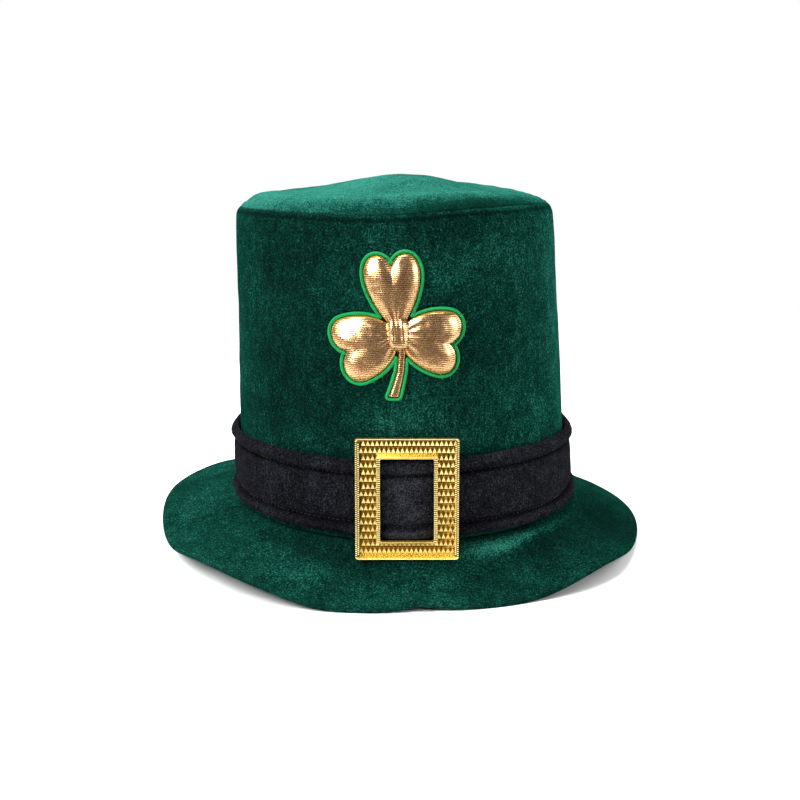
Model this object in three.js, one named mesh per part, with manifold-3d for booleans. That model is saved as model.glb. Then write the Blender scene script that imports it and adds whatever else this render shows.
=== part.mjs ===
// A costume leprechaun hat: a tall velour crown sewn to a soft padded brim, a black hat band
// with two folded hems, a moulded gold buckle and a padded gold shamrock with a stitched edge.
// Millimetres, +Z up, the front of the hat faces -Y. It rests on the lowest stretches of its brim,
// and the origin is on the surface that it rests on, in the middle of the hat's outline.
// A turn is an angle in degrees round the crown, seen from above, from +X towards +Y.

import * as THREE from "three";
import { mergeVertices } from "three/addons/utils/BufferGeometryUtils.js";
import Module from "manifold-3d";

// Driving sizes of the crown
const HEAD_RADIUS = 95; // inside of the crown, for a head of about 60 cm round
const CLOTH = 3; // velour on its foam backing
const CROWN_HEIGHT = 178; // from the brim seam up to the seam of the tip
const CROWN_TOP_RADIUS = 92.1; // outside, below the rounded top edge
const CROWN_SHIFT = 6; // how far the soft crown's top sits towards -X
const TOP_ROUND_HEIGHT = 10; // the side's cloth rolls in over this height
const TOP_ROUND_INSET = 5; // and by this much
const TIP_RISE = 14.5; // the puffed tip's highest point above its seam
const SEAM_WAVE = 6; // how far the tip's seam dips at its lowest

// Driving sizes of the brim
const BRIM_CLOTH = 50; // width of the brim's cloth, from its seam to its hem
const BRIM_THICKNESS = 5; // two layers of velour with padding between them
const HEM_THICKNESS = 4; // at the turned edge
const SEAM_HEIGHT = 26; // the brim's seam above the surface that the hat rests on
const REST_PRESS = 1.2; // how far the soft hem is pressed flat where it rests

// Driving sizes of the hat band
const BAND_HEIGHT = 41;
const BAND_THICKNESS = 4; // at its middle panel, with the padding under it
const BAND_RISE = 5.5; // from the brim seam up to the band
const TOP_HEM = 8; // height of the folded hem along the top edge
const BOTTOM_HEM = 7; // and along the bottom edge
const HEM_BULGE = 0.7; // how far the folded hems stand proud of the panel
const STITCH_DEPTH = 1.2; // how far the stitch lines pull in under the panel

// Driving sizes of the buckle
const BUCKLE_WIDTH = 56;
const BUCKLE_HEIGHT = 66;
const BUCKLE_THICKNESS = 3.2;
const BUCKLE_CORNER = 1.4; // corner radius
const BUCKLE_BEVEL = 0.5; // rounded edge of the moulding
const SIDE_BAR = 13.4; // width of the buckle's side bars
const END_BAR = 11.6; // height of its top and bottom bars
const OUTER_RIM = 2.1;
const INNER_RIM = 1.8;
const TRAY_DEPTH = 1.5; // the studded field lies this deep between the rims
const STUD_WIDTH = 2.55;
const STUD_HEIGHT = 3.9;
const STUD_RELIEF = 1.5;
const STUD_SUNK = 0.1;
const STUD_LEAN = 1; // how far a stud's point sits above the middle of its foot
const BUCKLE_TILT = 4.5; // degrees, its foot pushed out by the band's lower hem
const BUCKLE_SHIFT = 1.2; // to the wearer's left of the crown's middle

// Driving sizes of the shamrock
const LEAF_LENGTH = 41; // from the middle of the knot to the lobes' tops
const LEAF_WIDTH = 34;
const LEAF_LOFT = 5.2; // height of the padding in a leaf
const KNOT_WIDTH = 11; // the pinched middle where the leaves meet
const KNOT_HEIGHT = 15;
const KNOT_LOFT = 4.2;
const STEM_LENGTH = 34;
const STEM_WIDTH = 4.6;
const STEM_LOFT = 1.8;
const EDGING_WIDTH = 1.7; // satin stitch round the outside
const EDGING_HEIGHT = 1.5;
const SHAMROCK_HEIGHT = 114; // of the knot above the brim seam
const SHAMROCK_SHIFT = 0.3; // of the knot from the crown's middle

const GAP = 0.3; // between pieces that touch
const PATCH_GAP = 0.4; // under the patch, which lies on a faceted wall
const BUCKLE_SEAT = 0.5; // between the buckle's foot and the brim under it

const FRONT = 270;
const CROWN_STEPS = 48; // facets round the crown, the tip and the band
const BRIM_STEPS = 64;
const LEAF_POINTS = 5; // on each quarter of a leaf's outline
const LEAF_FULLEST = 0.62; // where a leaf's padding is highest, as a share of its length
const EDGE_SWELL = 2; // radius added at the brim seam, where the crown's cloth flares

// Soft dents of the crown: where they are, how far they reach and their depth as a share of the cloth.
const CROWN_DENTS = [
  { turn: 180, height: 0.4, reach: 60, tall: 0.2, depth: -0.25 },
  { turn: 0, height: 0.4, reach: 60, tall: 0.22, depth: -0.08 },
  { turn: 180, height: 0.62, reach: 24, tall: 0.1, depth: 0.2 },
  { turn: 222, height: 0.42, reach: 20, tall: 0.2, depth: 0.5 },
  { turn: 318, height: 0.5, reach: 22, tall: 0.22, depth: 0.4 },
  { turn: 70, height: 0.62, reach: 30, tall: 0.2, depth: 0.9 },
  { turn: 128, height: 0.36, reach: 24, tall: 0.16, depth: 0.7 },
];

// Height of the tip's seam round the crown, as a share of SEAM_WAVE below its highest stretch.
const TIP_SEAM = [
  { turn: 0, dip: 0.65 },
  { turn: 60, dip: 0.4 },
  { turn: 120, dip: 0.5 },
  { turn: 180, dip: 0.9 },
  { turn: 225, dip: 0.45 },
  { turn: 265, dip: 0.45 },
  { turn: 300, dip: 0 },
  { turn: 335, dip: 0.2 },
];

// The tip from its seam to its middle: radius as a share of the seam's, and rise of the plain
// dome as a share of TIP_RISE.
const TIP_SECTION = [
  { out: 1, rise: 0 },
  { out: 0.975, rise: 0.1 },
  { out: 0.92, rise: 0.17 },
  { out: 0.83, rise: 0.22 },
  { out: 0.7, rise: 0.28 },
  { out: 0.5, rise: 0.52 },
  { out: 0.25, rise: 0.87 },
];

const TIP_UNDER = 0.985; // the underside is this much smaller, so that the edge is undercut

// Soft rolls that stand up on the tip's dome: where, how far they reach, and their height as a
// share of TIP_RISE.
const TIP_ROLLS = [
  { turn: 270, out: 0.8, reach: 62, wide: 0.19, height: 0.5 },
  { turn: 270, out: 0.5, reach: 55, wide: 0.15, height: -0.2 },
  { turn: 340, out: 0.28, reach: 50, wide: 0.24, height: 0.15 },
  { turn: 188, out: 0.86, reach: 28, wide: 0.13, height: 0.35 },
  { turn: 190, out: 0.64, reach: 28, wide: 0.12, height: -0.12 },
  { turn: 60, out: 0.8, reach: 40, wide: 0.2, height: 0.14 },
];

// The brim's edge: its lift as a share of SEAM_HEIGHT, its reach as a share of what the cloth
// reaches, and how early the brim falls away from its seam.
const BRIM_EDGE = [
  { turn: 0, lift: 0.19, reach: 0.93, fall: 0.1 },
  { turn: 20, lift: 0.16, reach: 0.99, fall: 0.1 },
  { turn: 40, lift: 0.16, reach: 1, fall: 0.2 },
  { turn: 60, lift: 0.05, reach: 1, fall: 0.3 },
  { turn: 80, lift: 0, reach: 1, fall: 0.5 },
  { turn: 100, lift: 0, reach: 1, fall: 0.5 },
  { turn: 120, lift: 0.12, reach: 1, fall: 0.3 },
  { turn: 140, lift: 0.55, reach: 1.01, fall: 0 },
  { turn: 160, lift: 0.57, reach: 1.045, fall: -0.35 },
  { turn: 180, lift: 0.56, reach: 0.967, fall: -0.6 },
  { turn: 200, lift: 0.28, reach: 0.98, fall: -0.2 },
  { turn: 220, lift: 0.52, reach: 0.95, fall: 0 },
  { turn: 238, lift: 0.36, reach: 0.95, fall: 0.4 },
  { turn: 250, lift: 0.09, reach: 0.93, fall: 0.9 },
  { turn: 260, lift: 0, reach: 0.87, fall: 1.4 },
  { turn: 280, lift: 0.02, reach: 0.82, fall: 1.4 },
  { turn: 298, lift: 0, reach: 0.88, fall: 0.8 },
  { turn: 320, lift: 0.44, reach: 0.93, fall: 0.2 },
  { turn: 340, lift: 0.19, reach: 0.91, fall: 0 },
];

// Shares of the brim's reach where its cross-section has points, from the crown outwards.
const BRIM_SHARES = [0, 0.15, 0.33, 0.54, 0.77, 0.94];

// Where the hem is drawn up and in at the front, over so many degrees, in mm
const PUCKER = { turn: 274, reach: 7, draw: 3 };

// How far the band's upper and lower edges sag, as shares of its height
const BAND_SAG = [
  { turn: 0, top: 0.08, foot: 0.06 },
  { turn: 50, top: 0.04, foot: 0.04 },
  { turn: 120, top: 0.03, foot: 0.03 },
  { turn: 180, top: 0.07, foot: 0.05 },
  { turn: 225, top: 0.03, foot: 0.04 },
  { turn: 262, top: 0.02, foot: 0.035 },
  { turn: 300, top: 0, foot: 0.065 },
  { turn: 330, top: 0.03, foot: 0.08 },
];

// The three leaves by the direction that they point in, with their sizes as shares, and how full
// they are beside the knot.
const LEAVES = [
  { points: 94, length: 1, width: 0.88, base: 0.18 },
  { points: 201, length: 0.83, width: 1.03, base: 0.38 },
  { points: 347, length: 0.8, width: 1, base: 0.36 },
];

// The stem's middle line from the knot to its foot, as shares of its length, and its width.
const STEM_LINE = [
  { down: 0.1, side: 0.05, width: 0.7 },
  { down: 0.33, side: 0.05, width: 0.7 },
  { down: 0.6, side: 0.02, width: 0.75 },
  { down: 0.85, side: -0.05, width: 0.95 },
  { down: 1, side: -0.1, width: 1.1 },
];

const wasm = await Module();
wasm.setup();

const radians = THREE.MathUtils.degToRad;
const lerp = THREE.MathUtils.lerp;

// A value from a table with a row every so many degrees, eased smoothly from row to row.
function roundTable(rows, column, turn) {
  const at = THREE.MathUtils.euclideanModulo(turn, 360);
  const next = rows.findIndex((row) => row.turn > at);
  const after = next < 0 ? 0 : next;
  const before = (after + rows.length - 1) % rows.length;
  const span = THREE.MathUtils.euclideanModulo(rows[after].turn - rows[before].turn, 360) || 360;
  const along = THREE.MathUtils.euclideanModulo(at - rows[before].turn, 360) / span;
  const p0 = rows[(before + rows.length - 1) % rows.length][column];
  const p1 = rows[before][column];
  const p2 = rows[after][column];
  const p3 = rows[(after + 1) % rows.length][column];
  const slope1 = (p2 - p0) / 2;
  const slope2 = (p3 - p1) / 2;
  const t2 = along * along;
  const t3 = t2 * along;
  return (2 * t3 - 3 * t2 + 1) * p1 + (t3 - 2 * t2 + along) * slope1
    + (3 * t2 - 2 * t3) * p2 + (t3 - t2) * slope2;
}

// How strongly a bump centred on one turn is felt at another, from 1 to 0.
function near(turn, centre, reach) {
  const away = Math.abs(THREE.MathUtils.euclideanModulo(turn - centre + 180, 360) - 180) / reach;
  return Math.exp(-away * away);
}

// A closed body from rings of points: each ring is joined to the next, and the last to the first.
function ringBody(rings) {
  const count = rings[0].length;
  const position = rings.flat().flatMap((p) => [p.x, p.y, p.z]);
  const index = [];
  rings.forEach((ring, r) => {
    const here = r * count;
    const there = ((r + 1) % rings.length) * count;
    for (let i = 0; i < count; i++) {
      const j = (i + 1) % count;
      index.push(here + i, here + j, there + j, here + i, there + j, there + i);
    }
  });
  return new THREE.BufferGeometry()
    .setAttribute("position", new THREE.Float32BufferAttribute(position, 3))
    .setIndex(index);
}

// A closed body from rings whose first and last ring are each filled from a middle point.
function cappedBody(first, rings, last) {
  const count = rings[0].length;
  const position = [...rings.flat(), first, last].flatMap((p) => [p.x, p.y, p.z]);
  const firstPoint = rings.length * count;
  const index = [];
  for (let i = 0; i < count; i++) {
    const j = (i + 1) % count;
    index.push(firstPoint, j, i);
    for (let r = 0; r + 1 < rings.length; r++) {
      const here = r * count;
      const there = here + count;
      index.push(here + i, here + j, there + j, here + i, there + j, there + i);
    }
    const end = (rings.length - 1) * count;
    index.push(firstPoint + 1, end + i, end + j);
  }
  return new THREE.BufferGeometry()
    .setAttribute("position", new THREE.Float32BufferAttribute(position, 3))
    .setIndex(index);
}

function turns(steps) {
  return Array.from({ length: steps }, (_, i) => (i * 360) / steps);
}

// Height of the tip's seam above the brim seam
function seamRise(turn) {
  return CROWN_HEIGHT - SEAM_WAVE * roundTable(TIP_SEAM, "dip", turn);
}

// Outside radius of the crown at a height above the brim seam
function crownRadius(turn, rise) {
  const share = rise / CROWN_HEIGHT;
  const flare = EDGE_SWELL * Math.exp(-((rise / BAND_RISE) ** 2));
  const taper = lerp(HEAD_RADIUS + CLOTH, CROWN_TOP_RADIUS, Math.min(share, 1));
  const dents = CROWN_DENTS.reduce((sum, dent) => {
    const tall = (share - dent.height) / dent.tall;
    return sum + dent.depth * CLOTH * near(turn, dent.turn, dent.reach) * Math.exp(-tall * tall);
  }, 0);
  const intoRound = Math.max(0, rise - (seamRise(turn) - TOP_ROUND_HEIGHT)) / TOP_ROUND_HEIGHT;
  const rolled = TOP_ROUND_INSET * (1 - Math.sqrt(1 - Math.min(intoRound, 1) ** 2));
  return taper + flare - dents - rolled;
}

// A point on the crown, or a distance outside it
function crownPoint(turn, rise, outside = 0) {
  const radius = crownRadius(turn, rise) + outside;
  const shift = -CROWN_SHIFT * (rise / CROWN_HEIGHT);
  const angle = radians(turn);
  return new THREE.Vector3(
    shift + radius * Math.cos(angle), radius * Math.sin(angle), SEAM_HEIGHT + rise);
}

function crownWall() {
  const shares = [0, 0.03, 0.08, 0.18, 0.28, 0.38, 0.48, 0.58, 0.68, 0.79, 0.9];
  const roundShares = [0.3, 0.65, 0.88, 1];
  const straight = (turn) => seamRise(turn) - TOP_ROUND_HEIGHT;
  const outer = [
    ...shares.map((s) => (turn) => crownPoint(turn, GAP + s * (straight(turn) - GAP))),
    ...roundShares.map((s) => (turn) => crownPoint(turn, straight(turn) + s * TOP_ROUND_HEIGHT)),
  ];
  const inner = [0.9, 0.68, 0.46, 0.23, 0].map((s) => (turn) => {
    const top = seamRise(turn) - CLOTH;
    return crownPoint(turn, GAP + s * (top - GAP), -CLOTH - EDGE_SWELL * (s === 0 ? 1 : 0));
  });
  const lip = (turn) => {
    const edge = crownPoint(turn, seamRise(turn));
    return edge.setZ(edge.z - CLOTH);
  };
  return ringBody([...outer, lip, ...inner].map((at) => turns(CROWN_STEPS).map(at)));
}

// A point of the tip at a share of the seam's radius, and a share of TIP_RISE above the seam
function tipPoint(turn, out, rise) {
  const seam = crownPoint(turn, seamRise(turn));
  const middle = new THREE.Vector3(-CROWN_SHIFT, 0, SEAM_HEIGHT + CROWN_HEIGHT - SEAM_WAVE / 2);
  const inset = 1 - GAP / crownRadius(turn, seamRise(turn));
  const point = middle.clone().lerp(seam, out * inset);
  return point.setZ(point.z + rise * TIP_RISE);
}

// Rise of the tip above its seam's plane, as a share of TIP_RISE
function tipRise(turn, row) {
  const fromSeam = Math.sqrt(1 - row.out ** 8);
  return TIP_ROLLS.reduce((sum, roll) => {
    const away = (row.out - roll.out) / roll.wide;
    return sum + roll.height * near(turn, roll.turn, roll.reach) * Math.exp(-away * away) * fromSeam;
  }, row.rise);
}

function crownTip() {
  const top = TIP_SECTION.map((row) =>
    turns(CROWN_STEPS).map((t) => tipPoint(t, row.out, tipRise(t, row))));
  const below = (t, out, rise) => {
    const point = tipPoint(t, out * TIP_UNDER, rise);
    return point.setZ(point.z - CLOTH);
  };
  const under = TIP_SECTION.slice(2).reverse().map((row) =>
    turns(CROWN_STEPS).map((t) => below(t, row.out, tipRise(t, row))));
  const foot = turns(CROWN_STEPS).map((t) => below(t, 1, 0));
  const peak = tipPoint(0, 0, 1);
  const peakUnder = peak.clone().setZ(peak.z - CLOTH);
  return cappedBody(peakUnder, [...under, foot, ...top], peak);
}

function puckered(turn) {
  return PUCKER.draw * near(turn, PUCKER.turn, PUCKER.reach);
}

// Lift of the hem's middle line above the surface that the hat rests on
function hemLift(turn) {
  const table = Math.max(0, roundTable(BRIM_EDGE, "lift", turn)) * SEAM_HEIGHT;
  return HEM_THICKNESS / 2 - REST_PRESS + table + puckered(turn);
}

// How far the brim reaches beyond its seam, from the width of its cloth
function brimReach(turn) {
  const fall = SEAM_HEIGHT - hemLift(turn);
  const flat = Math.sqrt(BRIM_CLOTH ** 2 - fall ** 2);
  return flat * roundTable(BRIM_EDGE, "reach", turn) - puckered(turn);
}

const seamRadius = HEAD_RADIUS + CLOTH + EDGE_SWELL + GAP;

// Height of the brim's upper side at a share of its reach
function brimTop(turn, share) {
  const early = roundTable(BRIM_EDGE, "fall", turn) * share * (1 - share);
  const edge = hemLift(turn) + HEM_THICKNESS / 2;
  return lerp(SEAM_HEIGHT, edge, Math.min(share + early, 1 - 0.05 * (1 - share)));
}

function brimPoint(turn, radius, height) {
  const angle = radians(turn);
  return new THREE.Vector3(radius * Math.cos(angle), radius * Math.sin(angle), Math.max(height, 0));
}

function brim() {
  const shares = BRIM_SHARES;
  const radiusAt = (turn, share) => seamRadius + share * (brimReach(turn) - HEM_THICKNESS / 2);
  const upper = [
    (turn) => brimPoint(turn, HEAD_RADIUS, SEAM_HEIGHT),
    ...shares.map((s) => (turn) => brimPoint(turn, radiusAt(turn, s), brimTop(turn, s))),
  ];
  const roll = [60, 20, -20, -50, -75, -105].map((bend) => (turn) => brimPoint(
    turn,
    radiusAt(turn, 1) + (HEM_THICKNESS / 2) * Math.cos(radians(bend)),
    hemLift(turn) + (HEM_THICKNESS / 2) * Math.sin(radians(bend))));
  const lower = [...shares].reverse().slice(1).map((s) => (turn) => {
    const thick = lerp(BRIM_THICKNESS, HEM_THICKNESS, s ** 2);
    return brimPoint(turn, radiusAt(turn, s), brimTop(turn, s) - thick);
  });
  const inner = (turn) => brimPoint(turn, HEAD_RADIUS, SEAM_HEIGHT - BRIM_THICKNESS);
  const section = [...upper, ...roll, ...lower, inner].reverse();
  return ringBody(section.map((at) => turns(BRIM_STEPS).map(at)));
}

// The band's outside from bottom to top: height above the band's foot, and distance from the crown
function bandSection() {
  const panel = BAND_THICKNESS;
  const proud = panel + HEM_BULGE;
  const pulled = panel - STITCH_DEPTH;
  const upperStitch = BAND_HEIGHT - TOP_HEM;
  return [
    { rise: 0, out: panel / 2 },
    { rise: BOTTOM_HEM * 0.12, out: proud * 0.9 },
    { rise: BOTTOM_HEM * 0.5, out: proud },
    { rise: BOTTOM_HEM * 0.86, out: panel },
    { rise: BOTTOM_HEM, out: pulled },
    { rise: lerp(BOTTOM_HEM, upperStitch, 0.1), out: panel },
    { rise: lerp(BOTTOM_HEM, upperStitch, 0.5), out: panel + HEM_BULGE / 3 },
    { rise: lerp(BOTTOM_HEM, upperStitch, 0.9), out: panel },
    { rise: upperStitch, out: pulled },
    { rise: upperStitch + TOP_HEM * 0.14, out: panel },
    { rise: upperStitch + TOP_HEM * 0.5, out: proud },
    { rise: upperStitch + TOP_HEM * 0.88, out: proud * 0.9 },
    { rise: BAND_HEIGHT, out: panel / 2 },
  ];
}

// Rise above the brim seam of a height on the band, with its sag
function bandRise(turn, height) {
  const share = height / BAND_HEIGHT;
  const sag = lerp(roundTable(BAND_SAG, "foot", turn), roundTable(BAND_SAG, "top", turn), share);
  return BAND_RISE + height - sag * BAND_HEIGHT;
}

function hatBand() {
  const outer = bandSection().map((row) => (turn) =>
    crownPoint(turn, bandRise(turn, row.rise), GAP + row.out));
  const inner = [BAND_HEIGHT, 0].map((height) => (turn) =>
    crownPoint(turn, bandRise(turn, height), GAP));
  return ringBody([...outer, ...inner].map((at) => turns(CROWN_STEPS).map(at)));
}

function solidOf(geometry) {
  const bare = geometry.clone();
  ["normal", "uv"].forEach((name) => bare.deleteAttribute(name));
  const merged = mergeVertices(bare, 1e-4);
  return new wasm.Manifold(new wasm.Mesh({
    numProp: 3,
    vertProperties: new Float32Array(merged.attributes.position.array),
    triVerts: new Uint32Array(merged.index.array),
  }));
}

function geometryOf(solid) {
  const mesh = solid.getMesh();
  return new THREE.BufferGeometry()
    .setAttribute("position", new THREE.BufferAttribute(mesh.vertProperties, 3))
    .setIndex(new THREE.BufferAttribute(mesh.triVerts, 1));
}

// A rectangle with rounded corners, centred on the origin
function roundedRectangle(PathClass, width, height, corner) {
  const path = new PathClass();
  const [x, y] = [width / 2 - corner, height / 2 - corner];
  path.absarc(x, y, corner, 0, Math.PI / 2);
  path.absarc(-x, y, corner, Math.PI / 2, Math.PI);
  path.absarc(-x, -y, corner, Math.PI, (3 * Math.PI) / 2);
  path.absarc(x, -y, corner, (3 * Math.PI) / 2, 2 * Math.PI);
  path.closePath();
  return path;
}

// A rectangular ring, extruded along +Z from a height
function frameSolid(outerSize, innerSize, corner, from, depth, bevel) {
  const shape = roundedRectangle(
    THREE.Shape, outerSize.width - 2 * bevel, outerSize.height - 2 * bevel, corner);
  shape.holes.push(roundedRectangle(
    THREE.Path, innerSize.width + 2 * bevel, innerSize.height + 2 * bevel, BUCKLE_CORNER / 4));
  const geometry = new THREE.ExtrudeGeometry(shape, {
    depth: depth - 2 * bevel,
    bevelEnabled: bevel > 0,
    bevelThickness: bevel,
    bevelSize: bevel,
    bevelSegments: 1,
    curveSegments: 3,
  });
  return solidOf(geometry.translate(0, 0, from + bevel));
}

// One four-sided stud with its foot sunk into the tray's floor
function stud(x, y, floor) {
  const geometry = new THREE.ConeGeometry(Math.SQRT1_2, 1, 4, 1).rotateY(Math.PI / 4).rotateX(Math.PI / 2);
  geometry.translate(0, 0, 0.5).scale(STUD_WIDTH, STUD_HEIGHT, STUD_RELIEF);
  geometry.applyMatrix4(new THREE.Matrix4().makeShear(0, 0, 0, 0, 0, STUD_LEAN / STUD_RELIEF));
  return solidOf(geometry.translate(x, y, floor - STUD_SUNK));
}

function buckle() {
  const whole = { width: BUCKLE_WIDTH, height: BUCKLE_HEIGHT };
  const window = { width: BUCKLE_WIDTH - 2 * SIDE_BAR, height: BUCKLE_HEIGHT - 2 * END_BAR };
  const trayOuter = { width: whole.width - 2 * OUTER_RIM, height: whole.height - 2 * OUTER_RIM };
  const trayInner = { width: window.width + 2 * INNER_RIM, height: window.height + 2 * INNER_RIM };
  const floor = BUCKLE_THICKNESS - TRAY_DEPTH;
  const plate = frameSolid(whole, window, BUCKLE_CORNER, 0, BUCKLE_THICKNESS, BUCKLE_BEVEL);
  const tray = frameSolid(trayOuter, trayInner, BUCKLE_CORNER / 2, floor, TRAY_DEPTH * 2, 0);
  const field = frameSolid(trayOuter, trayInner, BUCKLE_CORNER / 2, floor / 2, BUCKLE_THICKNESS, 0);
  const rows = Math.round(trayOuter.height / STUD_HEIGHT);
  const columns = Math.round(trayOuter.width / STUD_WIDTH);
  const studs = [];
  for (let row = 0; row < rows; row++) {
    const y = ((row + 0.5) / rows - 0.5) * trayOuter.height;
    const offset = row % 2 === 0 ? 0 : 0.5;
    for (let column = 0; column <= columns; column++) {
      const x = ((column + offset) / columns - 0.5) * trayOuter.width;
      const inWindow = Math.abs(x) < trayInner.width / 2 - STUD_WIDTH / 2
        && Math.abs(y) < trayInner.height / 2 - STUD_HEIGHT / 2;
      if (!inWindow) studs.push(stud(x, y, floor));
    }
  }
  const carpet = wasm.Manifold.union(studs).intersect(field);
  return geometryOf(plate.subtract(tray).add(carpet));
}

// A side bar of the buckle leans on the band's upper hem, with its foot just above the brim
function placeBuckle(mesh) {
  const tilt = radians(BUCKLE_TILT);
  const hemRise = bandRise(FRONT, BAND_HEIGHT - TOP_HEM / 2);
  const hemAt = (turn) => crownPoint(turn, hemRise, GAP + BAND_THICKNESS + HEM_BULGE + GAP);
  const foremost = hemAt(FRONT);
  const barEdge = BUCKLE_SHIFT - (BUCKLE_WIDTH / 2 - SIDE_BAR);
  const across = Math.asin((barEdge - foremost.x) / -foremost.y);
  const hem = hemAt(FRONT + THREE.MathUtils.radToDeg(across));
  const heightAt = (back) => {
    const share = (-back - seamRadius) / (brimReach(FRONT) - HEM_THICKNESS / 2);
    return brimTop(FRONT, share) + BUCKLE_SEAT;
  };
  const footBack = hem.y - (hem.z - heightAt(hem.y)) * Math.tan(tilt);
  const foot = heightAt(footBack);
  const middleHeight = foot + (BUCKLE_HEIGHT / 2) * Math.cos(tilt);
  const back = hem.y - (hem.z - middleHeight) * Math.tan(tilt);
  mesh.position.set(BUCKLE_SHIFT, back, middleHeight);
  mesh.rotation.set(Math.PI / 2 - tilt, 0, 0);
}

// A heart-shaped leaf pointing along +Y from its tip at the origin, as a list of points
function leafOutline(leaf) {
  const [length, width] = [leaf.length * LEAF_LENGTH, leaf.width * LEAF_WIDTH];
  const heart = new THREE.CurvePath();
  const v = (x, y) => new THREE.Vector2(x * width, y * length);
  heart.add(new THREE.CubicBezierCurve(v(0, 0), v(leaf.base, 0.12), v(0.5, 0.5), v(0.5, 0.76)));
  heart.add(new THREE.CubicBezierCurve(v(0.5, 0.76), v(0.5, 1.03), v(0.16, 1.1), v(0, 0.87)));
  heart.add(new THREE.CubicBezierCurve(v(0, 0.87), v(-0.16, 1.1), v(-0.5, 1.03), v(-0.5, 0.76)));
  heart.add(new THREE.CubicBezierCurve(v(-0.5, 0.76), v(-0.5, 0.5), v(-leaf.base, 0.12), v(0, 0)));
  return heart.curves.flatMap((curve) => curve.getPoints(LEAF_POINTS).slice(1));
}

// An outline moved outwards by a distance, each point along the mean of its two sides' normals
function grown(points, distance) {
  return points.map((point, i) => {
    const before = points[(i + points.length - 1) % points.length];
    const after = points[(i + 1) % points.length];
    const along = after.clone().sub(before).normalize();
    return new THREE.Vector2(point.x + along.y * distance, point.y - along.x * distance);
  });
}

// A pillow over an outline: it rises steeply from its edge and is nearly flat in the middle
function pillow(points, centre, loft) {
  const section = [
    { size: 1, height: 0 },
    { size: 0.97, height: 0.42 },
    { size: 0.85, height: 0.74 },
    { size: 0.6, height: 0.93 },
    { size: 0.3, height: 1 },
  ];
  const ringAt = (size, height) => points.map((p) => {
    const flat = centre.clone().lerp(p, size);
    return new THREE.Vector3(flat.x, flat.y, height);
  });
  const under = [0.33, 0.66].map((size) => ringAt(size, 0));
  const over = section.map((row) => ringAt(row.size, row.height * loft));
  const middle = (height) => new THREE.Vector3(centre.x, centre.y, height);
  return solidOf(cappedBody(middle(0), [...under, ...over], middle(loft)));
}

// The stem's outline, down one side and up the other
function stemOutline() {
  const side = (sign) => STEM_LINE.map((row) => new THREE.Vector2(
    row.side * STEM_LENGTH + sign * row.width * STEM_WIDTH / 2, -row.down * STEM_LENGTH));
  return [...side(-1), ...side(1).reverse()];
}

function leafShapes() {
  return LEAVES.map((leaf) => {
    const spin = radians(leaf.points - 90);
    const turned = (point) => point.rotateAround(new THREE.Vector2(), spin);
    const fullest = new THREE.Vector2(0, leaf.length * LEAF_LENGTH * LEAF_FULLEST);
    return { points: leafOutline(leaf).map(turned), centre: turned(fullest) };
  });
}

function knotOutline() {
  return roundedRectangle(THREE.Shape, KNOT_WIDTH, KNOT_HEIGHT, KNOT_WIDTH / 4).getPoints(3).slice(0, -1);
}

// The gold cloth of the shamrock, lying flat
function shamrockPad() {
  const leaves = leafShapes().map((leaf) => pillow(leaf.points, leaf.centre, LEAF_LOFT));
  const knot = pillow(knotOutline(), new THREE.Vector2(), KNOT_LOFT);
  const stemShape = new THREE.Shape(stemOutline());
  const stem = new THREE.ExtrudeGeometry(stemShape, { depth: STEM_LOFT, bevelEnabled: false });
  return wasm.Manifold.union([...leaves, knot, solidOf(stem)]);
}

// The stitched edging: a flat ridge round everything, cut out where the gold cloth lies
function shamrockEdging() {
  const shapes = [...leafShapes().map((leaf) => leaf.points), stemOutline(), knotOutline()];
  const slabs = (growth, from, depth) => wasm.Manifold.union(shapes.map((points) => {
    const shape = new THREE.Shape(grown(points, growth));
    const slab = new THREE.ExtrudeGeometry(shape, { depth, bevelEnabled: false });
    return solidOf(slab.translate(0, 0, from));
  }));
  const ridge = slabs(GAP + EDGING_WIDTH, 0, EDGING_HEIGHT);
  return ridge.subtract(slabs(GAP, -EDGING_HEIGHT, EDGING_HEIGHT * 3));
}

// Bends a flat patch round the front of the crown
function wrapOnCrown(solid) {
  const geometry = geometryOf(solid);
  const position = geometry.getAttribute("position");
  for (let i = 0; i < position.count; i++) {
    const rise = SHAMROCK_HEIGHT + position.getY(i);
    const across = SHAMROCK_SHIFT + position.getX(i);
    const turn = FRONT + THREE.MathUtils.radToDeg(across / crownRadius(FRONT, rise));
    const point = crownPoint(turn, rise, PATCH_GAP + position.getZ(i));
    position.setXYZ(i, point.x, point.y, point.z);
  }
  return geometry;
}

function piece(name, geometry, finish) {
  const mesh = new THREE.Mesh(geometry, new THREE.MeshStandardMaterial(finish));
  mesh.name = name;
  return mesh;
}

const greenVelour = { color: 0x06483a, roughness: 0.9, metalness: 0 };
const blackVelour = { color: 0x26242b, roughness: 0.95, metalness: 0 };
const goldPlastic = { color: 0xe0ac3c, roughness: 0.25, metalness: 1 };
const goldCloth = { color: 0xd8a868, roughness: 0.35, metalness: 0.9 };
const greenThread = { color: 0x14a04a, roughness: 0.6, metalness: 0 };

function hat() {
  const group = new THREE.Group();
  const buckleMesh = piece("buckle", buckle(), goldPlastic);
  placeBuckle(buckleMesh);
  group.add(
    piece("crown_wall", crownWall(), greenVelour),
    piece("crown_tip", crownTip(), greenVelour),
    piece("brim", brim(), greenVelour),
    piece("hat_band", hatBand(), blackVelour),
    buckleMesh,
    piece("shamrock_pad", wrapOnCrown(shamrockPad()), goldCloth),
    piece("shamrock_edging", wrapOnCrown(shamrockEdging()), greenThread),
  );
  const middle = new THREE.Box3().setFromObject(group, true).getCenter(new THREE.Vector3());
  group.position.set(-middle.x, -middle.y, 0);
  return new THREE.Group().add(group);
}

export default hat();
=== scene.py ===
"""Dresses the leprechaun hat: velour, band, buckle, shamrock, and the studio round it."""
import math

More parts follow.
